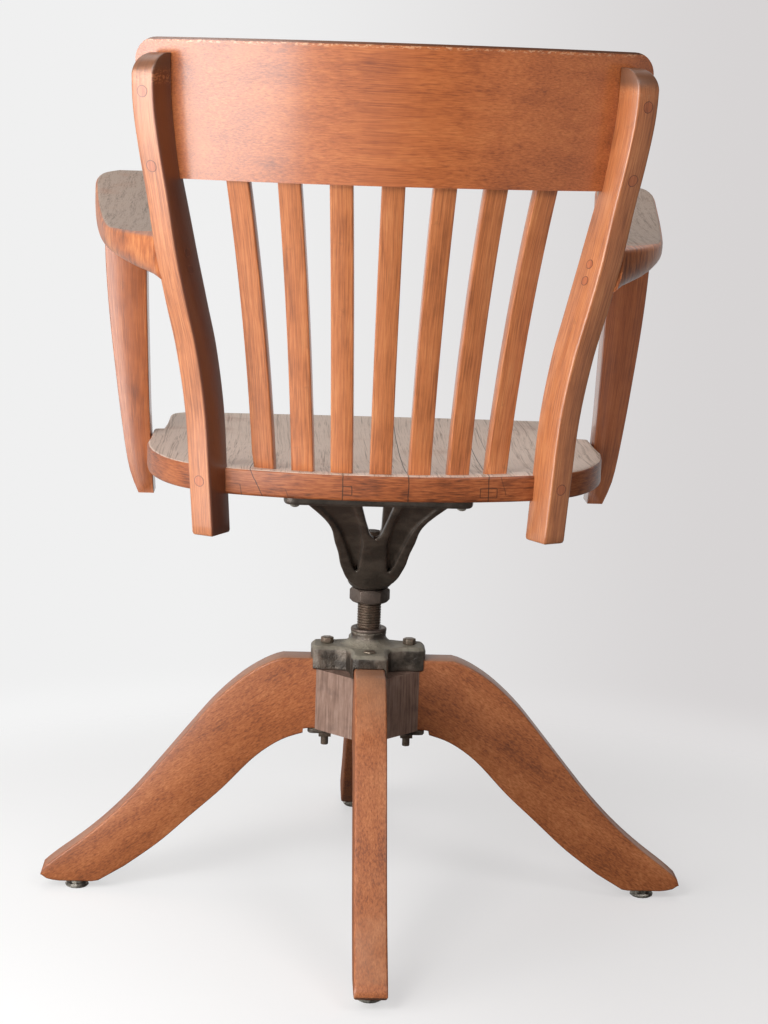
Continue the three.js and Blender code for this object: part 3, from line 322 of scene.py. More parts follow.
def varnished(
    name, dark, middle, pale, rubbed, edge_wear_and_highlight=0.6, gloss=0.3, weave=(800, 800, 22), coat=0.8,
    bare_top=0, crest=None, painted_shade=None,
):
    """Stained open-pored hardwood under thin old varnish, rubbed through to pale on its edges,
    which is partly wear and partly painted highlight; one face can also be painted darker as shade.
    """
    finish = Finish(name)
    grain, fibre = finish.wavy_grain((8, 8, 4), 0.01)
    bands = finish.noise(fibre, (75, 75, 4), 2)
    streaks = finish.noise(fibre, weave, 3, 0.65)
    pores = finish.step(finish.noise(fibre, [1.3 * scale for scale in weave], 2), 0.55, 0.66)
    place = finish.place()
    cloud = finish.noise(place, (24, 24, 24), 4, 0.6)
    figure = bands * 0.2 + streaks * 0.55 + cloud * 0.25
    colour = finish.ramp(figure, [(0.32, dark), (0.5, middle), (0.66, pale)])
    colour = finish.mix(pores * 0.34, colour, dark)
    dirt = finish.step(finish.noise(place, (60, 60, 60), 4, 0.7), 0.62, 0.78)
    colour = finish.mix(dirt * 0.3, colour, (66, 40, 28))
    top = finish.step(finish.upward() + (cloud - 0.5) * 0.3, 0.62, 0.95) * bare_top
    colour = finish.mix(top, colour, rubbed)
    # Edges take the rubbed colour; where it is pale this is partly real wear and partly painted
    # highlight on the rounded edges.
    bare = finish.step(finish.edges(1.6 * mm) * (0.2 + cloud * 1.4), 0.08, 0.3) * edge_wear_and_highlight
    colour = finish.mix(bare, colour, rubbed)
    cover = coat - bare * coat
    # Painted shade: where the grain's first coordinate lies below the limit, the inner face of the
    # left post, the colour is darkened towards the shade colour.
    if painted_shade:
        limit, shade_colour = painted_shade
        kept = 1 - finish.step(finish.parts(grain)[0], limit, limit + 2.4 * mm)
        colour = finish.mix(kept * (0.95 - bare * 0.5), colour, shade_colour)
    # A crest is darker between two heights towards the top and loses most of its coat there, with
    # pale chips just below.
    if crest:
        low, high, crest_dark, chip = crest
        up = finish.parts(place)[2] + (cloud - 0.5) * (high - low)
        darker_crest = finish.step(up, low, high)
        chips = finish.step(finish.noise(place, (260, 260, 500), 3, 0.6), 0.5, 0.58)
        chips = chips * finish.step(up, 1.5 * low - 0.5 * high - 2 * mm, low) * (1 - darker_crest)
        colour = finish.mix(chips * 0.6, finish.mix(darker_crest * 0.85, colour, crest_dark), chip)
        cover = cover * (1 - darker_crest * 0.9)
    roughness = gloss + cloud * 0.14 + pores * 0.1 + bare * 0.2 + top * 0.1
    height = streaks * 0.5 - pores * 0.8
    return finish.close(
        {
            "IOR": 1.56, "Coat Roughness": 0.22,
            "Base Color": colour, "Roughness": roughness, "Coat Weight": cover,
        },
        height, 0.1 * mm,
    )


def leg_points(shares):
    return [Vector((along * leg_reach, up * leg_top)) for along, up in shares]


leg_top_line = [Vector((leg_inner_end, leg_top))] + smooth_line(leg_points(leg_top_curve))
leg_top_line += leg_points([(1, leg_sole[-1][1])])
leg_under_line = leg_points(leg_heel) + smooth_line(leg_points(leg_belly)) + leg_points(leg_sole)


def leg_place(along, across, up):
    top = height_on(leg_top_line, along)
    under = height_on(leg_under_line, along)
    squeeze = min(1, (top - under) / (2.2 * leg_corner))
    if up > leg_board_height / 2:
        return Vector((along, across, top - (leg_board_height - up) * squeeze))
    return Vector((along, across, under + up * squeeze))


leg_levels = [leg_inner_end + level for level in rows(leg_reach - leg_inner_end, leg_rows)]
leg_levels += [leg_heel_end - 0.1 * mm, leg_heel_end + 0.1 * mm]
leg_levels += [leg_reach - 2 * mm, leg_reach - 1 * mm]
first_leg = stick(
    "leg", (leg_inner_end, -leg_thickness / 2, 0),
    (leg_reach - leg_end_gap, leg_thickness / 2, leg_board_height), leg_levels, leg_corner,
    along=Vector((1, 0, 0)),
)
bend(first_leg, leg_place)
leg_fibres = Matrix((
    (0, 1, 0),
    (-math.sin(leg_slope), 0, math.cos(leg_slope)),
    (math.cos(leg_slope), 0, math.sin(leg_slope)),
))
keep_grain(first_leg, (0.1, 0, 0), leg_fibres)
leg_wood = varnished(
    "leg_wood", (96, 46, 20), (158, 88, 44), (186, 116, 68), (176, 134, 106),
    gloss=0.46, weave=(620, 620, 200), coat=0.3, bare_top=0.55,
)
finish_off(first_leg, leg_wood)
for turn, side in enumerate(quarters):
    leg = copy_of(first_leg, f"leg_{side}_wood", (0.05 * turn, 0.11 * turn, 0.23 * turn))
    leg.data.transform(Matrix.Rotation(turn * math.pi / 2, 4, "Z"))
    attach(leg, "base")
    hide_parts("leg_" + side)
bpy.data.objects.remove(first_leg)


# Glides
# A nickelled steel glide is nailed under each foot: a dished disc on a short collar.
# They stay as the solids are, with a scuffed bright finish.
def scuffed_steel(name, bright, dull):
    finish = Finish(name)
    place = finish.place()
    cloud = finish.noise(place, (160, 160, 160), 3, 0.6)
    pits = finish.step(finish.noise(place, (900, 900, 900), 2), 0.6, 0.7)
    colour = finish.mix(finish.step(cloud, 0.42, 0.66), bright, dull)
    return finish.close(
        {"Base Color": colour, "Roughness": 0.32 + cloud * 0.25, "Metallic": 0.95 - pits * 0.5},
        cloud - pits * 0.6, 0.1 * mm,
    )


def dress(node, material):
    """Gives a carried-over solid its finish."""
    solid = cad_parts[node]
    solid.data.materials.clear()
    solid.data.materials.append(material)


glide_steel = scuffed_steel("glide_steel", (190, 186, 176), (96, 90, 82))
for side in quarters:
    dress("glide_" + side, glide_steel)


# Hub block
# A square block of hard wood stands on its corner between the legs, which sit in its four slots.
# It is unvarnished and gone grey-brown, with saw marks up and down its faces.
def weathered_block(name):
    finish = Finish(name)
    place = finish.place()
    streaks = finish.noise(place, (420, 420, 26), 3, 0.6)
    saw_marks = finish.noise(place, (130, 130, 60), 3, 0.7)
    cloud = finish.noise(place, (30, 30, 22), 3)
    colour = finish.ramp(streaks * 0.5 + saw_marks * 0.25 + cloud * 0.25, [
        (0.33, (96, 72, 60)), (0.5, (134, 107, 93)), (0.66, (158, 132, 118)),
    ])
    grease = finish.step(finish.noise(place, (55, 55, 55), 3), 0.55, 0.72)
    colour = finish.mix(grease * 0.3, colour, (70, 52, 44))
    return finish.close(
        {"Base Color": colour, "Roughness": 0.62 + cloud * 0.2},
        streaks + saw_marks * 0.6, 0.25 * mm,
    )


dress("hub_block", weathered_block("block_wood"))


# Hub castings
# The hood that caps the four tenons and the neck that carries the bush are one iron casting.
# A flat iron cross lies under the block; both are black, greasy and dusty, with sand-cast skin.
def cast_iron(name, dark, worn, dust, dusty=0.7, rust=0.35, skin=0.8 * mm):
    finish = Finish(name)
    place = finish.place()
    cloud = finish.noise(place, (42, 42, 42), 4, 0.6)
    sand = finish.noise(place, (650, 650, 650), 3, 0.6)
    lumps = finish.noise(place, (120, 120, 120), 3)
    colour = finish.mix(finish.step(cloud, 0.38, 0.66), dark, worn)
    rusty = finish.step(finish.noise(place, (75, 75, 75), 4, 0.7), 0.56, 0.7) * rust
    colour = finish.mix(rusty, colour, (96, 58, 38))
    settled = finish.step(finish.upward(), 0.3, 0.9) * (0.35 + lumps) * dusty
    colour = finish.mix(settled, colour, dust)
    rubbed = finish.step(finish.edges(2 * mm) * (0.4 + lumps), 0.06, 0.3)
    colour = finish.mix(rubbed * 0.5, colour, worn)
    return finish.close(
        {
            "Specular IOR Level": 0.6, "Base Color": colour,
            "Roughness": 0.27 + sand * 0.22 + settled * 0.3,
            "Metallic": 0.4 - settled * 0.3 - rusty * 0.4,
        },
        sand * 0.5 + lumps, skin,
    )


def merged_copy(node, name):
    """A copy of a plain solid, open in edit mode, with the points of its faces merged."""
    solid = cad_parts[node]
    piece = solid.copy()
    piece.data = solid.data.copy()
    piece.name = name
    piece.parent = None
    piece.matrix_world = Matrix()
    bpy.context.collection.objects.link(piece)
    piece.data.materials.clear()
    open_up(piece)
    bpy.ops.mesh.remove_doubles(threshold=0.02 * mm)
    return piece


def work_on(piece, kind, **settings):
    """Puts a modifier with these settings on a piece and applies it."""
    bpy.context.view_layer.objects.active = piece
    work = piece.modifiers.new("work", kind)
    for setting, value in settings.items():
        setattr(work, setting, value)
    bpy.ops.object.modifier_apply(modifier="work")


def rounded_casting(node, steel, width):
    """A steel copy of a plain solid, its edges rounded and its curved faces smoothed."""
    piece = merged_copy(node, node + "_steel")
    bpy.ops.mesh.dissolve_limited(angle_limit=math.radians(1))
    close_up()
    crease = math.radians(38)
    work_on(piece, "BEVEL", width=width, segments=2, limit_method="ANGLE", angle_limit=crease)
    bpy.ops.object.shade_smooth_by_angle(angle=math.radians(40))
    piece.data.materials.append(steel)
    return piece


def soft_casting(node, name, grain, rounds):
    """A copy of a plain solid, recast in a fine grid and rubbed smooth, as sand leaves iron."""
    piece = merged_copy(node, name)
    close_up()
    work_on(piece, "REMESH", mode="VOXEL", voxel_size=grain)
    work_on(piece, "SMOOTH", factor=0.5, iterations=rounds)
    bpy.ops.object.shade_smooth()
    return piece


hub_iron = cast_iron(
    "hub_iron", (54, 47, 40), (118, 106, 94), (150, 143, 127), dusty=0.9, skin=2.4 * mm,
)
hood = soft_casting("hub_spider", "hub_hood", 0.8 * mm, 9)
hood.data.materials.append(hub_iron)
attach(hood, "base")
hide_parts("hub_spider")
dress("hub_bottom_plate", hub_iron)


# Hub bolts
# Four long hexagon bolts pass down through hood, tenons and plate, each with a square nut below.
# They are mild steel, browned with rust and brighter on the corners a spanner has turned.
def rusty_steel(name, brown, bright, rusty=0.6):
    finish = Finish(name)
    place = finish.place()
    cloud = finish.noise(place, (210, 210, 210), 4, 0.65)
    speck = finish.noise(place, (1200, 1200, 1200), 2)
    rust = finish.step(cloud * 0.7 + speck * 0.3, 0.42, 0.6) * rusty
    colour = finish.mix(rust, bright, brown)
    rubbed = finish.step(finish.edges(1 * mm), 0.05, 0.3)
    colour = finish.mix(rubbed * 0.6, colour, (176, 160, 142))
    return finish.close(
        {"Base Color": colour, "Roughness": 0.38 + rust * 0.35, "Metallic": 0.9 - rust * 0.7},
        speck * 0.5 + cloud, 0.15 * mm,
    )


bolt_steel = rusty_steel("bolt_steel", (88, 58, 40), (138, 126, 112))
for side in quarters:
    for node in ("hub_bolt_" + side, "hub_bolt_nut_" + side):
        bolt_part = rounded_casting(node, bolt_steel, 0.5 * mm)
        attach(bolt_part, "base")
        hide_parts(node)

# Screw, bush and lock nut
# The turned screw carries the seat; its coarse thread runs in a flanged bush in the neck.
# A big chamfered nut locks it under the seat iron; all are steel gone brown, oily in the thread.
screw_radius = 12.5 * mm
screw_bottom = 165 * mm
screw_top = 371.7 * mm
screw_tip_radius = 9 * mm
screw_tip_top = 395.5 * mm
thread_pitch = 2.8 * mm
thread_depth = 1.3 * mm
thread_crest = 0.3
thread_root = (0.55, 0.7)


def turned(name, profile):
    """A piece turned on the lathe: its half outline, (radius, height), spun round the axis."""
    piece = begin(name, bpy.ops.mesh.primitive_circle_add, vertices=len(profile))
    for point, (radius, height) in zip(piece.data.vertices, profile):
        point.co = (radius, 0, height)
    open_up(piece)
    bpy.ops.mesh.spin(steps=48, angle=2 * math.pi, center=(0, 0, 0), axis=(0, 0, 1))
    close_up()
    finish_off(piece, angle=50)
    return piece


def threaded(radius, bottom, top, pitch, depth):
    """Half outline of a shank with a thread cut on it, groove by groove."""
    outline = []
    height = bottom + pitch
    while height < top - pitch:
        outline += [
            (radius, height), (radius, height + thread_crest * pitch),
            *((radius - depth, height + root * pitch) for root in thread_root),
        ]
        height += pitch
    return outline


screw = turned("screw_threaded", [
    (0, screw_bottom), (screw_radius - 2 * mm, screw_bottom),
    *threaded(screw_radius, screw_bottom, screw_top, thread_pitch, thread_depth),
    (screw_radius, screw_top), (screw_tip_radius, screw_top),
    (screw_tip_radius, screw_tip_top), (0, screw_tip_top),
])
screw.data.materials.append(rusty_steel("screw_steel", (84, 58, 42), (98, 84, 72), 0.75))
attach(screw, "seat_and_back")
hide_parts("screw_spindle")
nut_steel = rusty_steel("nut_steel", (74, 56, 46), (108, 96, 88), 0.5)
for node, body, width in (
    ("screw_bush", "turning_bush", 0.5 * mm), ("lock_nut", "seat_and_back", 0.8 * mm),
    ("screw_cross_pin", "seat_and_back", 0.4 * mm),
):
    steel_part = rounded_casting(node, nut_steel, width)
    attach(steel_part, body)
    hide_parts(node)

# Seat iron
# One casting: a boss on the screw, two pairs of forked arms with a gutter down each, and two strips
# that are screwed up under the seat. Black once, it is now bare and brown on the edges.
seat_iron = soft_casting("seat_iron", "seat_iron_casting", 1 * mm, 32)
seat_iron.data.materials.append(cast_iron(
    "seat_iron_skin", (68, 60, 53), (96, 86, 77), (128, 116, 104), dusty=0.6, rust=0.25,
))
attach(seat_iron, "seat_and_back")
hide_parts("seat_iron")
for corner in ("rear_left", "rear_right", "front_left", "front_right"):
    dress("seat_screw_" + corner, glide_steel)

# Seat
# Boards of ash-like wood are glued edge to edge, sawn to shape and hollowed for the sitter.
# The top is worn grey and open-grained; the edge keeps its orange varnish; joints and checks show.
seat_half = 235 * mm
seat_rear = 200 * mm
seat_front = 217 * mm
seat_bottom = 461 * mm
seat_top = 487 * mm
seat_rear_shares = [
    (0, 1), (0.34, 0.968), (0.65, 0.866), (0.8, 0.75), (0.885, 0.62), (0.945, 0.46), (0.98, 0.3),
    (1, 0.1),
]
seat_step = -75.3 * mm
seat_corner = 28 * mm
seat_rings = [
    0.985, 0.965, 0.94, 0.91, 0.87, 0.82, 0.76, 0.69, 0.61, 0.52, 0.42, 0.32, 0.22, 0.12, 0.05,
]
seat_side = 0.995 * seat_half
seat_neck = 0.953 * seat_half
seat_step_slope = 3 * mm
seat_front_side = 0.945 * seat_half
seat_front_corner = -0.98 * seat_front
seat_front_bulge = (0.5 * seat_half, -0.992 * seat_front)
seat_edge_round = 3 * mm
dish_half = Vector((214 * mm, 196 * mm))
dish_middle = 8 * mm
dish_depth = 11 * mm
dish_squareness = 0.85
dish_steepness = 1.2
pommel_share = 0.6
pommel_width = 34 * mm
board_fibres = Matrix(((1, 0, 0), (0, 0, 1), (0, 1, 0)))
joint_blur = 0.2 * mm
joint_width = 0.8 * mm
joint_dirt = (38, 20, 12)


def seat_outline():
    rear = [(across * seat_half, back * seat_rear) for across, back in seat_rear_shares]
    right = smooth_line(rear, 5)
    right += [
        Vector((seat_side, -10 * mm)), Vector((seat_side, -40 * mm)),
        Vector((seat_side, seat_step)), Vector((seat_neck, seat_step - seat_step_slope)),
    ]
    side, corner = seat_front_side, seat_front_corner
    right += [Vector((side, corner + seat_corner + 60 * mm)), Vector((side, corner + seat_corner))]
    for turn in (step / 6 for step in range(1, 6)):
        inward, back = seat_corner * turn ** 2, seat_corner * (1 - turn) ** 2
        right.append(Vector((side - inward, corner + back)))
    bulge_x, bulge_y = seat_front_bulge
    right += smooth_line([
        (side - seat_corner, corner), (bulge_x, bulge_y), (0, -seat_front), (-bulge_x, bulge_y),
    ], 5)[:11]
    left = [Vector((-point.x, point.y)) for point in right[1:-1]]
    return right + left[::-1]


def dish_drop(x, y):
    """How deep the sitter's hollow is at a place; a low ridge runs into it from the front."""
    power = 2 / dish_squareness
    across, along = abs(x / dish_half.x), abs((y - dish_middle) / dish_half.y)
    share = (across ** power + along ** power) ** (1 / power)
    if share >= 1:
        return 0
    frontness = min(max((dish_middle - y) / dish_half.y, 0), 1)
    pommel = pommel_share * frontness * math.exp(-((x / pommel_width) ** 2))
    return dish_depth * (1 - share ** 2) ** dish_steepness * (1 - pommel)


seat_edge = seat_outline()
seat = begin(
    "seat_boards", bpy.ops.mesh.primitive_circle_add, vertices=len(seat_edge), fill_type="NGON",
)
for point, place in zip(seat.data.vertices, seat_edge):
    point.co = (place.x, place.y, seat_bottom)
open_up(seat)
bpy.ops.mesh.extrude_region_move(TRANSFORM_OT_translate={"value": (0, 0, seat_top - seat_bottom)})
size = 1
for ring in seat_rings:
    bpy.ops.mesh.extrude_region_move()
    shrink = ring / size
    bpy.ops.transform.resize(value=(shrink, shrink, 1), center_override=(0, dish_middle, seat_top))
    size = ring
bpy.ops.mesh.merge(type="CENTER")
seat_rim = {(round(place.x, 5), round(place.y, 5)) for place in seat_edge}
pick_edges(lambda start, end: all(
    (round(point.x, 5), round(point.y, 5)) in seat_rim for point in (start, end)
) and abs(start.z - end.z) < mm)
bpy.ops.mesh.bevel(offset=seat_edge_round, segments=3, affect="EDGES")
close_up()
keep_grain(seat, (0.3, 0.2, 0), board_fibres)
seat_middle = (seat_top + seat_bottom) / 2
bend(seat, lambda x, y, z: Vector((x, y, z - dish_drop(x, y) * (z > seat_middle))))


def worn_top(
    name, bare_dark, bare, bare_pale, edge_dark, edge, edge_pale, side_weave,
    joints=(), ledges=(), tail=None,
):
    """Wood worn bare and grey on top, orange under varnish on its sides, with dark joints.

    A joint is where it crosses, its lower and upper end in millimetres, its slant and its darkness.
    A ledge is its left and right end and its height in millimetres. A tail is where the bare top
    ends: the middle of its curved end, how far forward it reaches, and how hollow it is.
    """
    finish = Finish(name)
    fibre = finish.wavy_grain((7, 7, 3), 0.03)[1]
    rings = finish.noise(fibre, (260, 120, 2), 2, 0.5)
    streaks = finish.noise(fibre, (900, 700, 14), 3, 0.6)
    furrows = finish.step(streaks * 0.6 + rings * 0.4, 0.53, 0.62)
    place = finish.place()
    cloud = finish.noise(place, (16, 16, 16), 4, 0.6)
    figure = rings * 0.4 + streaks * 0.6
    side_figure = finish.noise(place, side_weave, 3, 0.6) * 0.6 + cloud * 0.4
    orange = finish.ramp(side_figure, [(0.36, edge_dark), (0.5, edge), (0.64, edge_pale)])
    grey = finish.ramp(figure, [(0.36, bare_dark), (0.48, bare), (0.62, bare_pale)])
    grey = finish.mix(furrows * 0.35, grey, bare_dark)
    grey = finish.mix(finish.step(cloud, 0.52, 0.78) * 0.3, grey, edge)
    rim = finish.step(finish.edges(2 * mm) * (0.3 + cloud * 1.4), 0.06, 0.25)
    top = finish.step(finish.upward() + (cloud - 0.5) * 0.2, 0.72, 0.86)
    x, y, z = finish.parts(place)
    if tail:
        middle, reach, hollow = tail
        off = abs(x) - middle
        line = y + off * off * hollow + (cloud - 0.5) * 0.01
        top = top * (1 - finish.step(line, reach, reach + 6 * mm))
    colour = finish.mix(top, orange, grey)
    colour = finish.mix(rim * 0.22, colour, bare_pale)
    wander = (finish.noise(place, (40, 12, 90), 3, 0.6) - 0.5) * 2.2 * mm
    for *sizes, slant, depth in joints:
        joint, low, high = (size * mm for size in sizes)
        gap = 1 - finish.step(abs(x - joint + (z - low) * slant + wander), joint_blur, joint_width)
        colour = finish.mix(gap * finish.within(z, low, high) * depth, colour, joint_dirt)
    for ledge in ledges:
        left, right, height = (size * mm for size in ledge)
        gap = 1 - finish.step(abs(z - height + wander), joint_blur, joint_width)
        colour = finish.mix(gap * finish.within(x, left, right) * 0.7, colour, joint_dirt)
    return finish.close(
        {
            "IOR": 1.5, "Coat Roughness": 0.25, "Coat Weight": (1 - top) * 0.12,
            "Base Color": colour, "Roughness": 0.38 + top * 0.12 + cloud * 0.15,
        },
        streaks * 0.6 - furrows * 0.5, 0.2 * mm,
    )


finish_off(seat, worn_top(
    "seat_wood", (154, 132, 116), (206, 184, 168), (218, 198, 183),
    (88, 42, 18), (144, 76, 38), (172, 100, 56), (70, 70, 620),
    joints=[
        (36.6, 455, 500, 0, 0.85), (27.9, 466.8, 475.5, 0, 0.8),
        (-26.5, 455, 500, 0, 0.85), (-104.6, 455, 500, 0, 0.8),
        (-96.4, 466, 475, 0, 0.7), (-112.8, 466, 475, 0, 0.7),
        (113, 461, 487, -0.5, 0.85), (133, 461, 472, -0.25, 0.6),
        (88, 461, 470, -0.4, 0.5), (-122, 468, 486, -0.3, 0.5),
    ],
    ledges=[
        (27.9, 36.6, 466.8), (27.9, 36.6, 475.5),
        (-112.8, -96.4, 466), (-112.8, -96.4, 475),
    ],
), angle=50)
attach(seat, "seat_and_back")
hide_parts("seat_board")

# Rear posts
# Two posts are bent out and back from the seat, turned thirty degrees on plan to meet the curved
# rail. They are screwed to the seat and rail from behind, varnished, and rounded over at the top.
post_width = 24 * mm
post_depth = 34 * mm
post_height = 455 * mm
post_bottom = 422 * mm
post_foot = Vector((160.035 * mm, 196 * mm))
post_spread = 59 * mm
post_rake = 81 * mm
post_toe = math.radians(30)
post_stations = [
    (0, 0, 0), (0.13, 0.07, 0.04), (0.27, 0.15, 0.12), (0.4, 0.3, 0.25), (0.5, 0.47, 0.38),
    (0.61, 0.64, 0.52), (0.72, 0.77, 0.66), (0.81, 0.89, 0.77), (0.9, 0.98, 0.88), (1, 1, 1),
]
post_depth_shares = [(0, 0), (0.25, 0.4), (0.5, 1), (0.62, 0.9), (0.75, 0.2), (1, 0)]
post_foot_depth = 33 * mm
post_taper = 3 * mm
post_swell = 6.5 * mm
post_rows = 44
post_corner = 2.2 * mm
post_foot_round = 3 * mm
post_top_round = 0.8 * mm
crown_height = 22 * mm
crown_forward = 26 * mm
crown_side = 8 * mm


def share_of(stations, share, column=1):
    """The height of a smooth curve through a column of the stations, drawn over their first."""
    pairs = [(station[0], station[column]) for station in stations]
    last = len(pairs) - 1
    if share <= pairs[0][0]:
        return pairs[0][1]
    if share >= pairs[last][0]:
        return pairs[last][1]
    upper = next(index for index, pair in enumerate(pairs) if pair[0] >= share)

    def slope(index):
        before, after = pairs[max(index - 1, 0)], pairs[min(index + 1, last)]
        return (after[1] - before[1]) / (after[0] - before[0])

    (start, low), (end, high) = pairs[upper - 1], pairs[upper]
    span = end - start
    t = (share - start) / span
    return (
        (2 * t ** 3 - 3 * t ** 2 + 1) * low + (3 * t ** 2 - 2 * t ** 3) * high
        + (t ** 3 - 2 * t ** 2 + t) * span * slope(upper - 1)
        + (t ** 3 - t ** 2) * span * slope(upper)
    )


def both_hands(piece, grain_shift):
    """A left-hand piece and its right-hand twin; finish_off turns the twin's faces out again."""
    twin = copy_of(piece, piece.name.replace("left", "right"), grain_shift)
    twin.data.transform(Matrix.Scale(-1, 4, (1, 0, 0)))
    return (piece, "left"), (twin, "right")


def post_depth_at(share):
    return post_foot_depth - post_taper * share + post_swell * share_of(post_depth_shares, share)


def post_place(across, forward, up):
    """Where a point of the straight left post lies once the post is bent and set."""
    share = min(max(up / post_height, 0), 1)
    crown = 0
    straight = post_height - crown_height
    if up > straight:
        crown = 1 - math.sqrt(max(1 - ((up - straight) / crown_height) ** 2, 0))
    depth = post_depth_at(share)
    across = across * (1 - crown * crown_side / post_width)
    forward = crown * crown_forward + forward / post_depth * (depth - crown * crown_forward)
    corner_x = post_foot.x + share_of(post_stations, share) * post_spread
    corner_y = post_foot.y + share_of(post_stations, share, 2) * post_rake
    return Vector((
        corner_x + across * math.cos(post_toe) - forward * math.sin(post_toe),
        corner_y - across * math.sin(post_toe) - forward * math.cos(post_toe),
        post_bottom + up,
    ))


post_levels = rows(post_height, post_rows)[:-2]
for turn in range(6, 90, 7):
    post_levels.append(post_height - crown_height * (1 - math.sin(math.radians(turn))))
post = stick(
    "rear_post_left_wood", (0, 0, 0), (post_width, post_depth, post_height),
    sorted(post_levels), post_corner,
)
open_up(post)
pick_edges(lambda start, end: max(start.z, end.z) < 0.01 * mm)
bpy.ops.mesh.bevel(offset=post_foot_round, segments=2, affect="EDGES")
pick_edges(lambda start, end: min(start.z, end.z) > post_height - 0.01 * mm)
bpy.ops.mesh.bevel(offset=post_top_round, segments=2, affect="EDGES")
close_up()
keep_grain(post, (0.5, 0.4, 0))
bend(post, post_place)
# The left post's inner face is painted darker as shade; the right post's grain lies past the limit,
# so it keeps its colour.
post_wood = varnished(
    "post_wood", (122, 66, 34), (184, 110, 64), (206, 136, 86), (206, 156, 120),
    crest=(854 * mm, 866 * mm, (98, 66, 48), (184, 122, 80)), painted_shade=(500.4 * mm, (92, 42, 19)),
)
for piece, side in both_hands(post, (0.21, 0.17, 0.4)):
    finish_off(piece, post_wood)
    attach(piece, "seat_and_back")
    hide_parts("rear_post_" + side)

# Plugs
# Wooden plugs hide the screws of rail and seat in the posts' backs, and of the arms in their inner
# faces. Each is cut off flush; a dark ring round it is painted shade in the gap.
plug_radius = 5.5 * mm
arm_plug_radius = 4.5 * mm
plug_length = 6 * mm
plug_proud = 0.25 * mm
plug_ring = 0.7 * mm
back_plug_shares = [0.923, 0.776, 0.119]
arm_plug_shares = [0.602, 0.567]


def plug(name, radius, middle, turned_to):
    """A short round plug with a narrow bevel for its dark ring of painted shade, lying in the
    straight post.
    """
    piece = begin(
        name, bpy.ops.mesh.primitive_cylinder_add, vertices=24, radius=radius,
        depth=plug_length + plug_proud, location=middle, rotation=turned_to,
    )
    open_up(piece)
    bpy.ops.mesh.select_mode(type="FACE")
    mesh = bmesh.from_edit_mesh(piece.data)
    for face in mesh.faces:
        face.select = len(face.verts) > 4
    bmesh.update_edit_mesh(piece.data)
    bpy.ops.mesh.inset(thickness=plug_ring)
    close_up()
    keep_grain(piece, (0.9 + middle[2], 0.6, 0))
    return piece


plug_glue = varnished(
    "plug_glue", (70, 34, 18), (112, 60, 34), (140, 82, 50), (150, 96, 62), edge_wear_and_highlight=0,
)
plug_wood = varnished(
    "plug_wood", (116, 58, 28), (176, 96, 54), (198, 120, 72), (206, 150, 112), edge_wear_and_highlight=0.2,
)
plug_stained = varnished(
    "plug_stained", (70, 32, 14), (92, 42, 19), (112, 56, 28), (120, 70, 44), edge_wear_and_highlight=0,
)
plug_depth = (plug_length - plug_proud) / 2
plug_places = [
    ((post_width / 2, plug_depth, share * post_height), (math.pi / 2, 0, 0), plug_radius)
    for share in back_plug_shares
] + [
    ((plug_depth, post_depth / 2, share * post_height), (0, math.pi / 2, 0), arm_plug_radius)
    for share in arm_plug_shares
]
for side, hand in (("left", 1), ("right", -1)):
    for index, (middle, turned_to, radius) in enumerate(plug_places, 1):
        piece = plug(f"post_plug_{side}_{index}_wood", radius, middle, turned_to)
        bend(piece, post_place)
        piece.data.transform(Matrix.Scale(hand, 4, (1, 0, 0)))
        # The arm plugs in the left post's inner face are painted as dark as the painted shade on
        # that face.
        in_painted_shade = side == "left" and radius == arm_plug_radius
        finish_off(piece, plug_stained if in_painted_shade else plug_wood, plug_glue)
        # The narrow rim faces take the painted gap shade, the rest the plug's wood.
        points = piece.data.vertices
        for face in piece.data.polygons:
            longest = max((points[corner].co - face.center).length for corner in face.vertices)
            face.material_index = int(len(face.vertices) == 4 and longest < 1.6 * mm)
        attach(piece, "seat_and_back")
        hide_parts(f"post_plug_{side}_{index}")

# Top rail
# One wide board, curved and leaning back, its ends a little slanted, its top corners rounded off.
# Its grain runs from side to side; the varnish is bright, and the top edge is darker, with pale
# chips just below it.
rail_radius = 440 * mm
rail_thickness = 22 * mm
rail_bottom = 764 * mm
rail_height = 126.98 * mm
rail_half = 239.035 * mm
rail_middle = 276 * mm
rail_lean = 0.22
rail_corner = 22 * mm
rail_slant = 9 * mm
rail_edge_round = 2.2 * mm
rail_centre = rail_middle - rail_radius
rail_half_angle = math.asin(rail_half / (rail_radius - rail_thickness)) + 0.01

rail = begin("top_rail_board", bpy.ops.mesh.primitive_plane_add, size=1)
rail.data.transform(
    Matrix.Translation((0, rail_radius - rail_thickness / 2, rail_height / 2))
    @ Matrix.Diagonal((1, rail_thickness, rail_height, 1)) @ Matrix.Rotation(math.pi / 2, 4, "Y")
)
rail.data.transform(Matrix.Rotation(rail_half_angle, 4, "Z"))
open_up(rail)
bpy.ops.mesh.spin(steps=56, angle=2 * rail_half_angle, center=(0, 0, 0), axis=(0, 0, 1))
close_up()
finish_off(rail)
rail_outline = begin(
    "rail_outline", bpy.ops.mesh.primitive_cube_add,
    size=1, location=(0, rail_radius, 0), scale=(2 * rail_half, rail_radius, 2 * rail_height),
)
bend(rail_outline, lambda x, y, z: (
    x - math.copysign(rail_slant * (rail_height - z) / rail_height, x), y, z,
))
open_up(rail_outline)
pick_edges(lambda start, end: abs(start.x - end.x) < mm and min(start.z, end.z) > 0)
bpy.ops.mesh.bevel(offset=rail_corner, segments=10, affect="EDGES")
close_up()
work_on(rail, "BOOLEAN", operation="INTERSECT", solver="EXACT", object=rail_outline)
bpy.data.objects.remove(rail_outline)
work_on(rail, "BEVEL", width=rail_edge_round, segments=3, angle_limit=math.radians(50))
keep_grain(rail, (0.2, 0.7, 0), Matrix(((0, 1, 0), (0, 0, 1), (1, 0, 0))))
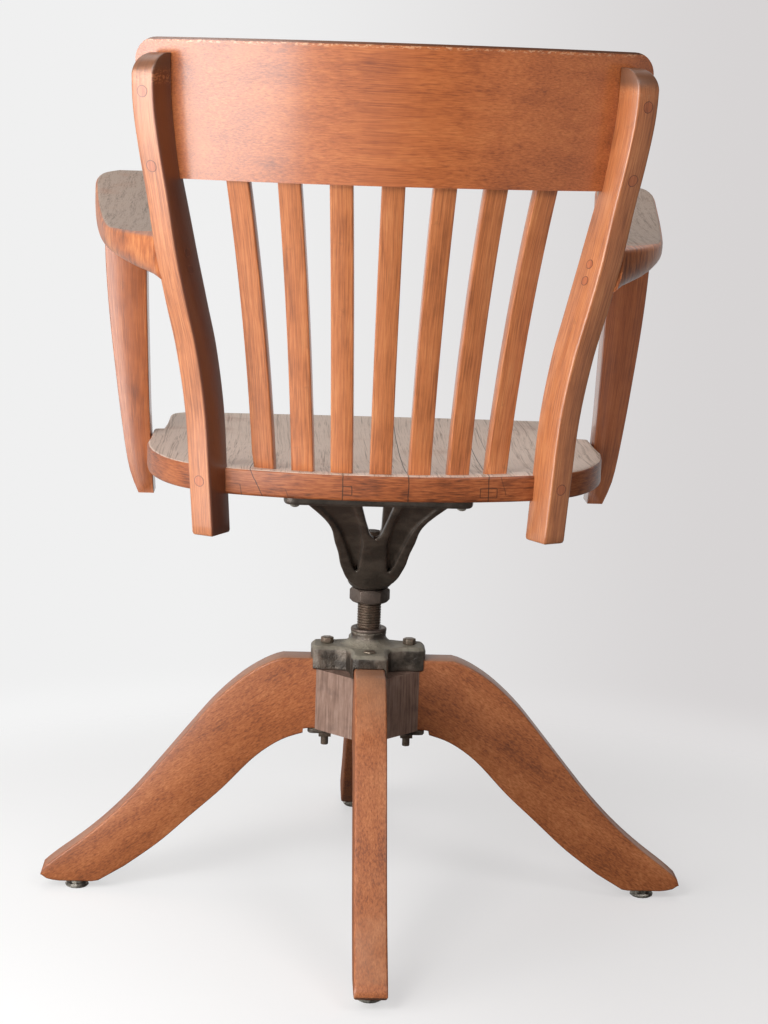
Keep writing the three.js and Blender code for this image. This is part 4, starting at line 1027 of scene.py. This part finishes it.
bend(rail, lambda x, y, z: Vector((x, y + rail_centre + rail_lean * z, rail_bottom + z)))
finish_off(rail, varnished(
    "rail_wood", (118, 56, 24), (174, 94, 46), (196, 116, 62), (120, 80, 56), gloss=0.28, coat=1,
    crest=(888 * mm, 889.5 * mm, (70, 44, 30), (226, 182, 142)),
))
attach(rail, "seat_and_back")
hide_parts("top_rail")

# Slats
# Seven thin slats stand between seat and rail, tenoned into both and bowed a little forward.
# They fan out to the top, and each is turned to face along the curve of the back. The corner of
# four feet is pared away.
slat_count = 7
slat_width = 21.5 * mm
slat_thickness = 11 * mm
slat_rise = 277 * mm
slat_tenon = 11.5 * mm
slat_seat_radius = 402 * mm
slat_foot = 183 * mm
slat_head = rail_middle - 5.5 * mm
slat_foot_step = 38 * mm
slat_head_step = 47.5 * mm
slat_turn = math.radians(5.9)
slat_bow = 36 * mm
slat_rows = 16
slat_corner = 1.4 * mm
paring_height = 20 * mm
pared_feet = {0: 5 * mm, 2: 4 * mm, 5: 3 * mm, 6: 4.5 * mm}


def arc_drop(radius, across):
    """How far an arc has fallen back at a place off its middle."""
    return radius - math.sqrt(radius ** 2 - across ** 2)


def slat_place(index, across, forward, up):
    offset = (slat_count - 1) / 2 - index
    toe = offset * slat_turn
    share = up / slat_rise
    foot_x, head_x = offset * slat_foot_step, offset * slat_head_step
    foot_y = slat_foot - arc_drop(slat_seat_radius, foot_x)
    head_y = slat_head - arc_drop(rail_radius, head_x)
    bowed = slat_bow * share * (1 - share) + forward
    return Vector((
        foot_x + (head_x - foot_x) * share + across * math.cos(toe) - bowed * math.sin(toe),
        foot_y + (head_y - foot_y) * share - across * math.sin(toe) - bowed * math.cos(toe),
        seat_top + up,
    ))


slat = stick(
    "slat", (-slat_width / 2, 0, -slat_tenon),
    (slat_width / 2, slat_thickness, slat_rise + slat_tenon),
    rows(slat_rise, slat_rows), slat_corner,
)
keep_grain(slat, (0, 0, 0))
slat_wood = varnished(
    "slat_wood", (124, 66, 32), (190, 112, 64), (210, 138, 86), (206, 156, 118), gloss=0.28,
)
for index in range(slat_count):
    piece = copy_of(slat, f"back_slat_{index + 1}_wood", (0.17 * index, 0.3 * index, 0.41 * index))
    if index in pared_feet:
        open_up(piece)
        bpy.ops.mesh.bisect(
            plane_co=(slat_width / 2, 0, paring_height), clear_outer=True, use_fill=True,
            plane_no=Vector((paring_height, -paring_height, -pared_feet[index])).normalized(),
        )
        close_up()
    bend(piece, lambda x, y, z, index=index: slat_place(index, x, y, z))
    finish_off(piece, slat_wood)
    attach(piece, "seat_and_back")
    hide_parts(f"back_slat_{index + 1}")
bpy.data.objects.remove(slat)

# Arms
# Each arm is sawn from one thick board: a narrow tail against the post, swelling out to a broad
# flat hand rest, deeply rounded underneath. The top is worn to bare grey wood.
arm_rear = 221 * mm
arm_length = 436 * mm
arm_reach = 307.5 * mm
arm_top = 710 * mm
arm_rise = 45 * mm
arm_tail_height = 40 * mm
arm_thinning = 9 * mm
arm_thin_from, arm_thin_run = 0.2, 0.42
arm_edge_round = 5 * mm
arm_roundness = 0.85
arm_stations = [
    (0, 0.675, 0.715, 0.95), (0.05, 0.645, 0.765, 0.95), (0.1, 0.64, 0.808, 0.95),
    (0.17, 0.65, 0.853, 0.94), (0.27, 0.685, 0.891, 0.84), (0.38, 0.725, 0.916, 0.62),
    (0.52, 0.76, 0.942, 0.42), (0.66, 0.775, 0.965, 0.32), (0.8, 0.78, 0.985, 0.28),
    (0.9, 0.784, 0.997, 0.26), (0.95, 0.792, 0.993, 0.26), (0.98, 0.806, 0.975, 0.28),
    (1, 0.83, 0.94, 0.32),
]


def quarter(steps):
    """The angles of a quarter turn, both ends with it."""
    return [step / steps * math.pi / 2 for step in range(steps + 1)]


def arm_section(along):
    """The outline of the arm cut across at a share of its length."""
    inner, outer, round_share = (share_of(arm_stations, along, column) for column in (1, 2, 3))
    top = arm_top + arm_rise * along ** 2
    thinning = min(max((along - arm_thin_from) / arm_thin_run, 0), 1)
    height = arm_tail_height - arm_thinning * thinning ** 2 * (3 - 2 * thinning)
    bottom = top - height
    inner, outer = inner * arm_reach, outer * arm_reach
    width = outer - inner
    edge = min(arm_edge_round, 0.2 * width)
    round_x = min(round_share * width, width - edge)
    round_z = min(round_share * height, height - edge)
    ring = [
        (inner + edge * (1 - math.cos(turn)), bottom + edge * (1 - math.sin(turn)))
        for turn in quarter(4)[:-1]
    ] + [
        (
            outer - round_x + math.sin(turn) ** arm_roundness * round_x,
            bottom + round_z - math.cos(turn) ** arm_roundness * round_z,
        ) for turn in quarter(10)
    ] + [
        (outer - edge * (1 - math.cos(turn)), top - edge * (1 - math.sin(turn)))
        for turn in quarter(4)
    ] + [
        (inner + edge * (1 - math.sin(turn)), top - edge * (1 - math.cos(turn)))
        for turn in quarter(4)
    ]
    return [Vector((x, arm_rear - along * arm_length, z)) for x, z in ring]


def drawn_out(name, sections):
    """A piece drawn out of its first face, section by section."""
    piece = begin(
        name, bpy.ops.mesh.primitive_circle_add, vertices=len(sections[0]), fill_type="NGON",
    )
    open_up(piece)
    for number, section in enumerate(sections):
        if number:
            bpy.ops.mesh.extrude_region_move()
        mesh = bmesh.from_edit_mesh(piece.data)
        end_face = next(face for face in mesh.faces if face.select)
        for corner, place in zip(end_face.loops, section):
            corner.vert.co = place
        bmesh.update_edit_mesh(piece.data)
    close_up()
    return piece


arm_alongs = [0, 0.01, 0.025] + [0.05 + 0.9 * step / 30 for step in range(31)] + [
    0.96, 0.968, 0.976, 0.984, 0.99, 0.995, 1,
]
arm = drawn_out("arm_left_wood", [arm_section(along) for along in arm_alongs])
keep_grain(arm, (0.35, 0.15, 0.2), board_fibres)
arm_wood = worn_top(
    "arm_wood", (112, 94, 80), (154, 132, 116), (174, 152, 136),
    (116, 60, 30), (172, 96, 50), (200, 126, 74), (420, 14, 60),
    tail=(232 * mm, 160 * mm, 30),
)
for piece, side in both_hands(arm, (0.2, 0.2, 0.5)):
    finish_off(piece, arm_wood, angle=45)
    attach(piece, "seat_and_back")
    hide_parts("arm_" + side)

# Arm supports
# A sawn support rises from each side of the seat, curving out to carry the arm.
# Its foot is housed in the seat's edge and tapers to a blunt end below it.
support_bottom = 423 * mm
support_top = 707 * mm
support_rear = -40 * mm
support_front = -75 * mm
support_inner = 231 * mm
support_reach = 55 * mm
support_rows = 24
support_corner = 2.2 * mm
support_inner_shares = [(0, 0), (0.16, 0.056), (0.3, 0.1), (0.55, 0.15), (0.8, 0.19), (1, 0.19)]
support_outer_shares = [
    (0, 0.3), (0.03, 0.37), (0.1, 0.49), (0.26, 0.63), (0.48, 0.78), (0.68, 0.9), (0.86, 0.975),
    (1, 1),
]


def support_place(across, forward, up):
    share = up / (support_top - support_bottom)
    inner = support_inner + share_of(support_inner_shares, share) * support_reach
    outer = support_inner + share_of(support_outer_shares, share) * support_reach
    across = inner + across / support_reach * (outer - inner)
    return Vector((across, support_rear - forward, support_bottom + up))


support_height = support_top - support_bottom
support_wood = varnished(
    "support_wood", (104, 50, 22), (164, 90, 46), (188, 114, 66), (196, 142, 106),
)
support = stick(
    "arm_support_left_wood", (0, 0, 0),
    (support_reach, support_rear - support_front, support_height),
    rows(support_height, support_rows), support_corner,
)
keep_grain(support, (0.8, 0.9, 0.3))
bend(support, support_place)
for piece, side in both_hands(support, (0.3, 0.1, 0.2)):
    finish_off(piece, support_wood)
    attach(piece, "seat_and_back")
    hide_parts("arm_support_" + side)

# Floor
# A plain pale floor takes the shadow. Seen by the camera it fades out into the backdrop behind it;
# seen in polished metal and varnish it is bright where the windows of the room would be.
paint = Finish("floor_paint")
floor_place = paint.place()
floor_mottle = paint.noise(floor_place, (2.5, 2.5, 2.5), 3)
floor_across, floor_away = paint.parts(floor_place)[:2]
to_camera = paint.ray("Camera")
floor_pale = paint.mix(floor_mottle, (236, 235, 234), (243, 242, 241))
floor_colour = paint.mix(to_camera, (112, 110, 108), floor_pale)
mirrored_ray = paint.ray("Glossy")
window_side = paint.step(floor_across + floor_away * 0.3, 0.2, 0.9)
right_side = (1 - paint.step(floor_across, -1.2, -0.4)) * paint.step(floor_away, -0.3, 0.6)
floor_shade = paint.node("BsdfDiffuse", {}, {"Color": floor_colour})
floor_tint = paint.mix(paint.step(floor_across, -0.3, 0.3), (233, 231, 231), (252, 252, 252))
floor_reach = floor_across * floor_across + floor_away * floor_away
floor_rim = paint.step(floor_reach, 0.25, 0.85)
floor_glow = paint.node("Emission", {}, {"Color": floor_tint})
glow_share = to_camera * (0.62 + floor_rim * 0.38)
glow_share = glow_share + mirrored_ray * (window_side * 0.9 + right_side * 0.42)
floor_seen = paint.node("MixShader", {}, {0: glow_share, 1: floor_shade, 2: floor_glow})
floor_far = paint.step(floor_reach, 0.3, 1.1)
fade = paint.step(floor_away, -1.3, -0.5) * (1 - floor_far * to_camera)
clear = paint.node("BsdfTransparent", {}, {})
paint.show(paint.node("MixShader", {}, {0: fade, 1: clear, 2: floor_seen}))
floor = begin("floor", bpy.ops.mesh.primitive_grid_add, x_subdivisions=4, y_subdivisions=4, size=12)
floor.data.materials.append(paint.owner)

# Backdrop and lamps
# The room is the sky: pale for the camera, white or dim for what mirrors it, soft grey as light.
# Four soft boxes light the chair, the strongest one low and from the left, behind the camera.
sky = Finish("studio", bpy.data.worlds)
bpy.context.scene.world = sky.owner
sky_across, sky_away = sky.parts(sky.node("TexCoord", {}, {}, "Generated"))[:2]
behind_camera = sky.step(sky_away - sky_across * 0.6, -0.75, 0.1)
right_glow = (1 - sky.step(sky_across, -0.75, -0.2)) * sky.step(sky_away, -0.2, 0.3)
dim = sky.mix(right_glow, (60, 58, 56), (175, 174, 172))
wall = sky.mix(sky.step(sky_across, -0.2, 0.05), (215, 212, 212), (240, 240, 240))
mirror = sky.mix(behind_camera, (232, 231, 230), dim)
light = sky.mix(behind_camera, (140, 139, 138), (56, 56, 58))
seen, mirrored, lit = (
    sky.node("Background", {}, {"Color": colour}) for colour in (wall, mirror, light)
)
shiny = sky.ray("Glossy") + sky.ray("Transmission")
around = sky.node("MixShader", {}, {0: shiny, 1: lit, 2: mirrored})
sky.show(sky.node("MixShader", {}, {0: sky.ray("Camera"), 1: around, 2: seen}), "World")


def soft_box(name, place, aim, width, height, power):
    lamp = bpy.data.lights.new(name, "AREA")
    lamp.shape = "RECTANGLE"
    lamp.size = width
    lamp.size_y = height
    lamp.energy = power
    holder = bpy.data.objects.new(name, lamp)
    holder.location = place
    holder.rotation_euler = (Vector(aim) - Vector(place)).to_track_quat("-Z", "Y").to_euler()
    holder.visible_camera = False
    bpy.context.collection.objects.link(holder)


soft_box("key", (1.23, 1.09, 0.63), (0.05, 0.1, 0.55), 1.55, 1.15, 30)
soft_box("front", (1.1, 2, 1.75), (0, 0.2, 0.5), 0.8, 0.8, 29)
soft_box("fill", (-1.15, 1.6, 1.95), (0, 0.1, 0.5), 0.9, 0.9, 15)
soft_box("top", (0.3, -0.4, 2.9), (0, 0, 0.4), 2.2, 2.2, 25)

# Camera
# Stands behind the chair at the photograph's distance and height, a little tilted.
camera_data = bpy.data.cameras.new("camera")
camera_data.sensor_fit = "HORIZONTAL"
camera_data.lens = 107.63
camera = bpy.data.objects.new("camera", camera_data)
bpy.context.collection.objects.link(camera)
bpy.context.scene.camera = camera
turn, lift, roll = math.radians(180 - 2.46), math.radians(90 - 10.205), math.radians(1.85)
camera.matrix_world = (
    Matrix.Translation((0.0895, 2.3683, 0.8424)) @ Matrix.Rotation(turn, 4, "Z")
    @ Matrix.Rotation(lift, 4, "X") @ Matrix.Rotation(roll, 4, "Z")
)

bpy.context.scene.view_settings.view_transform = "Standard"
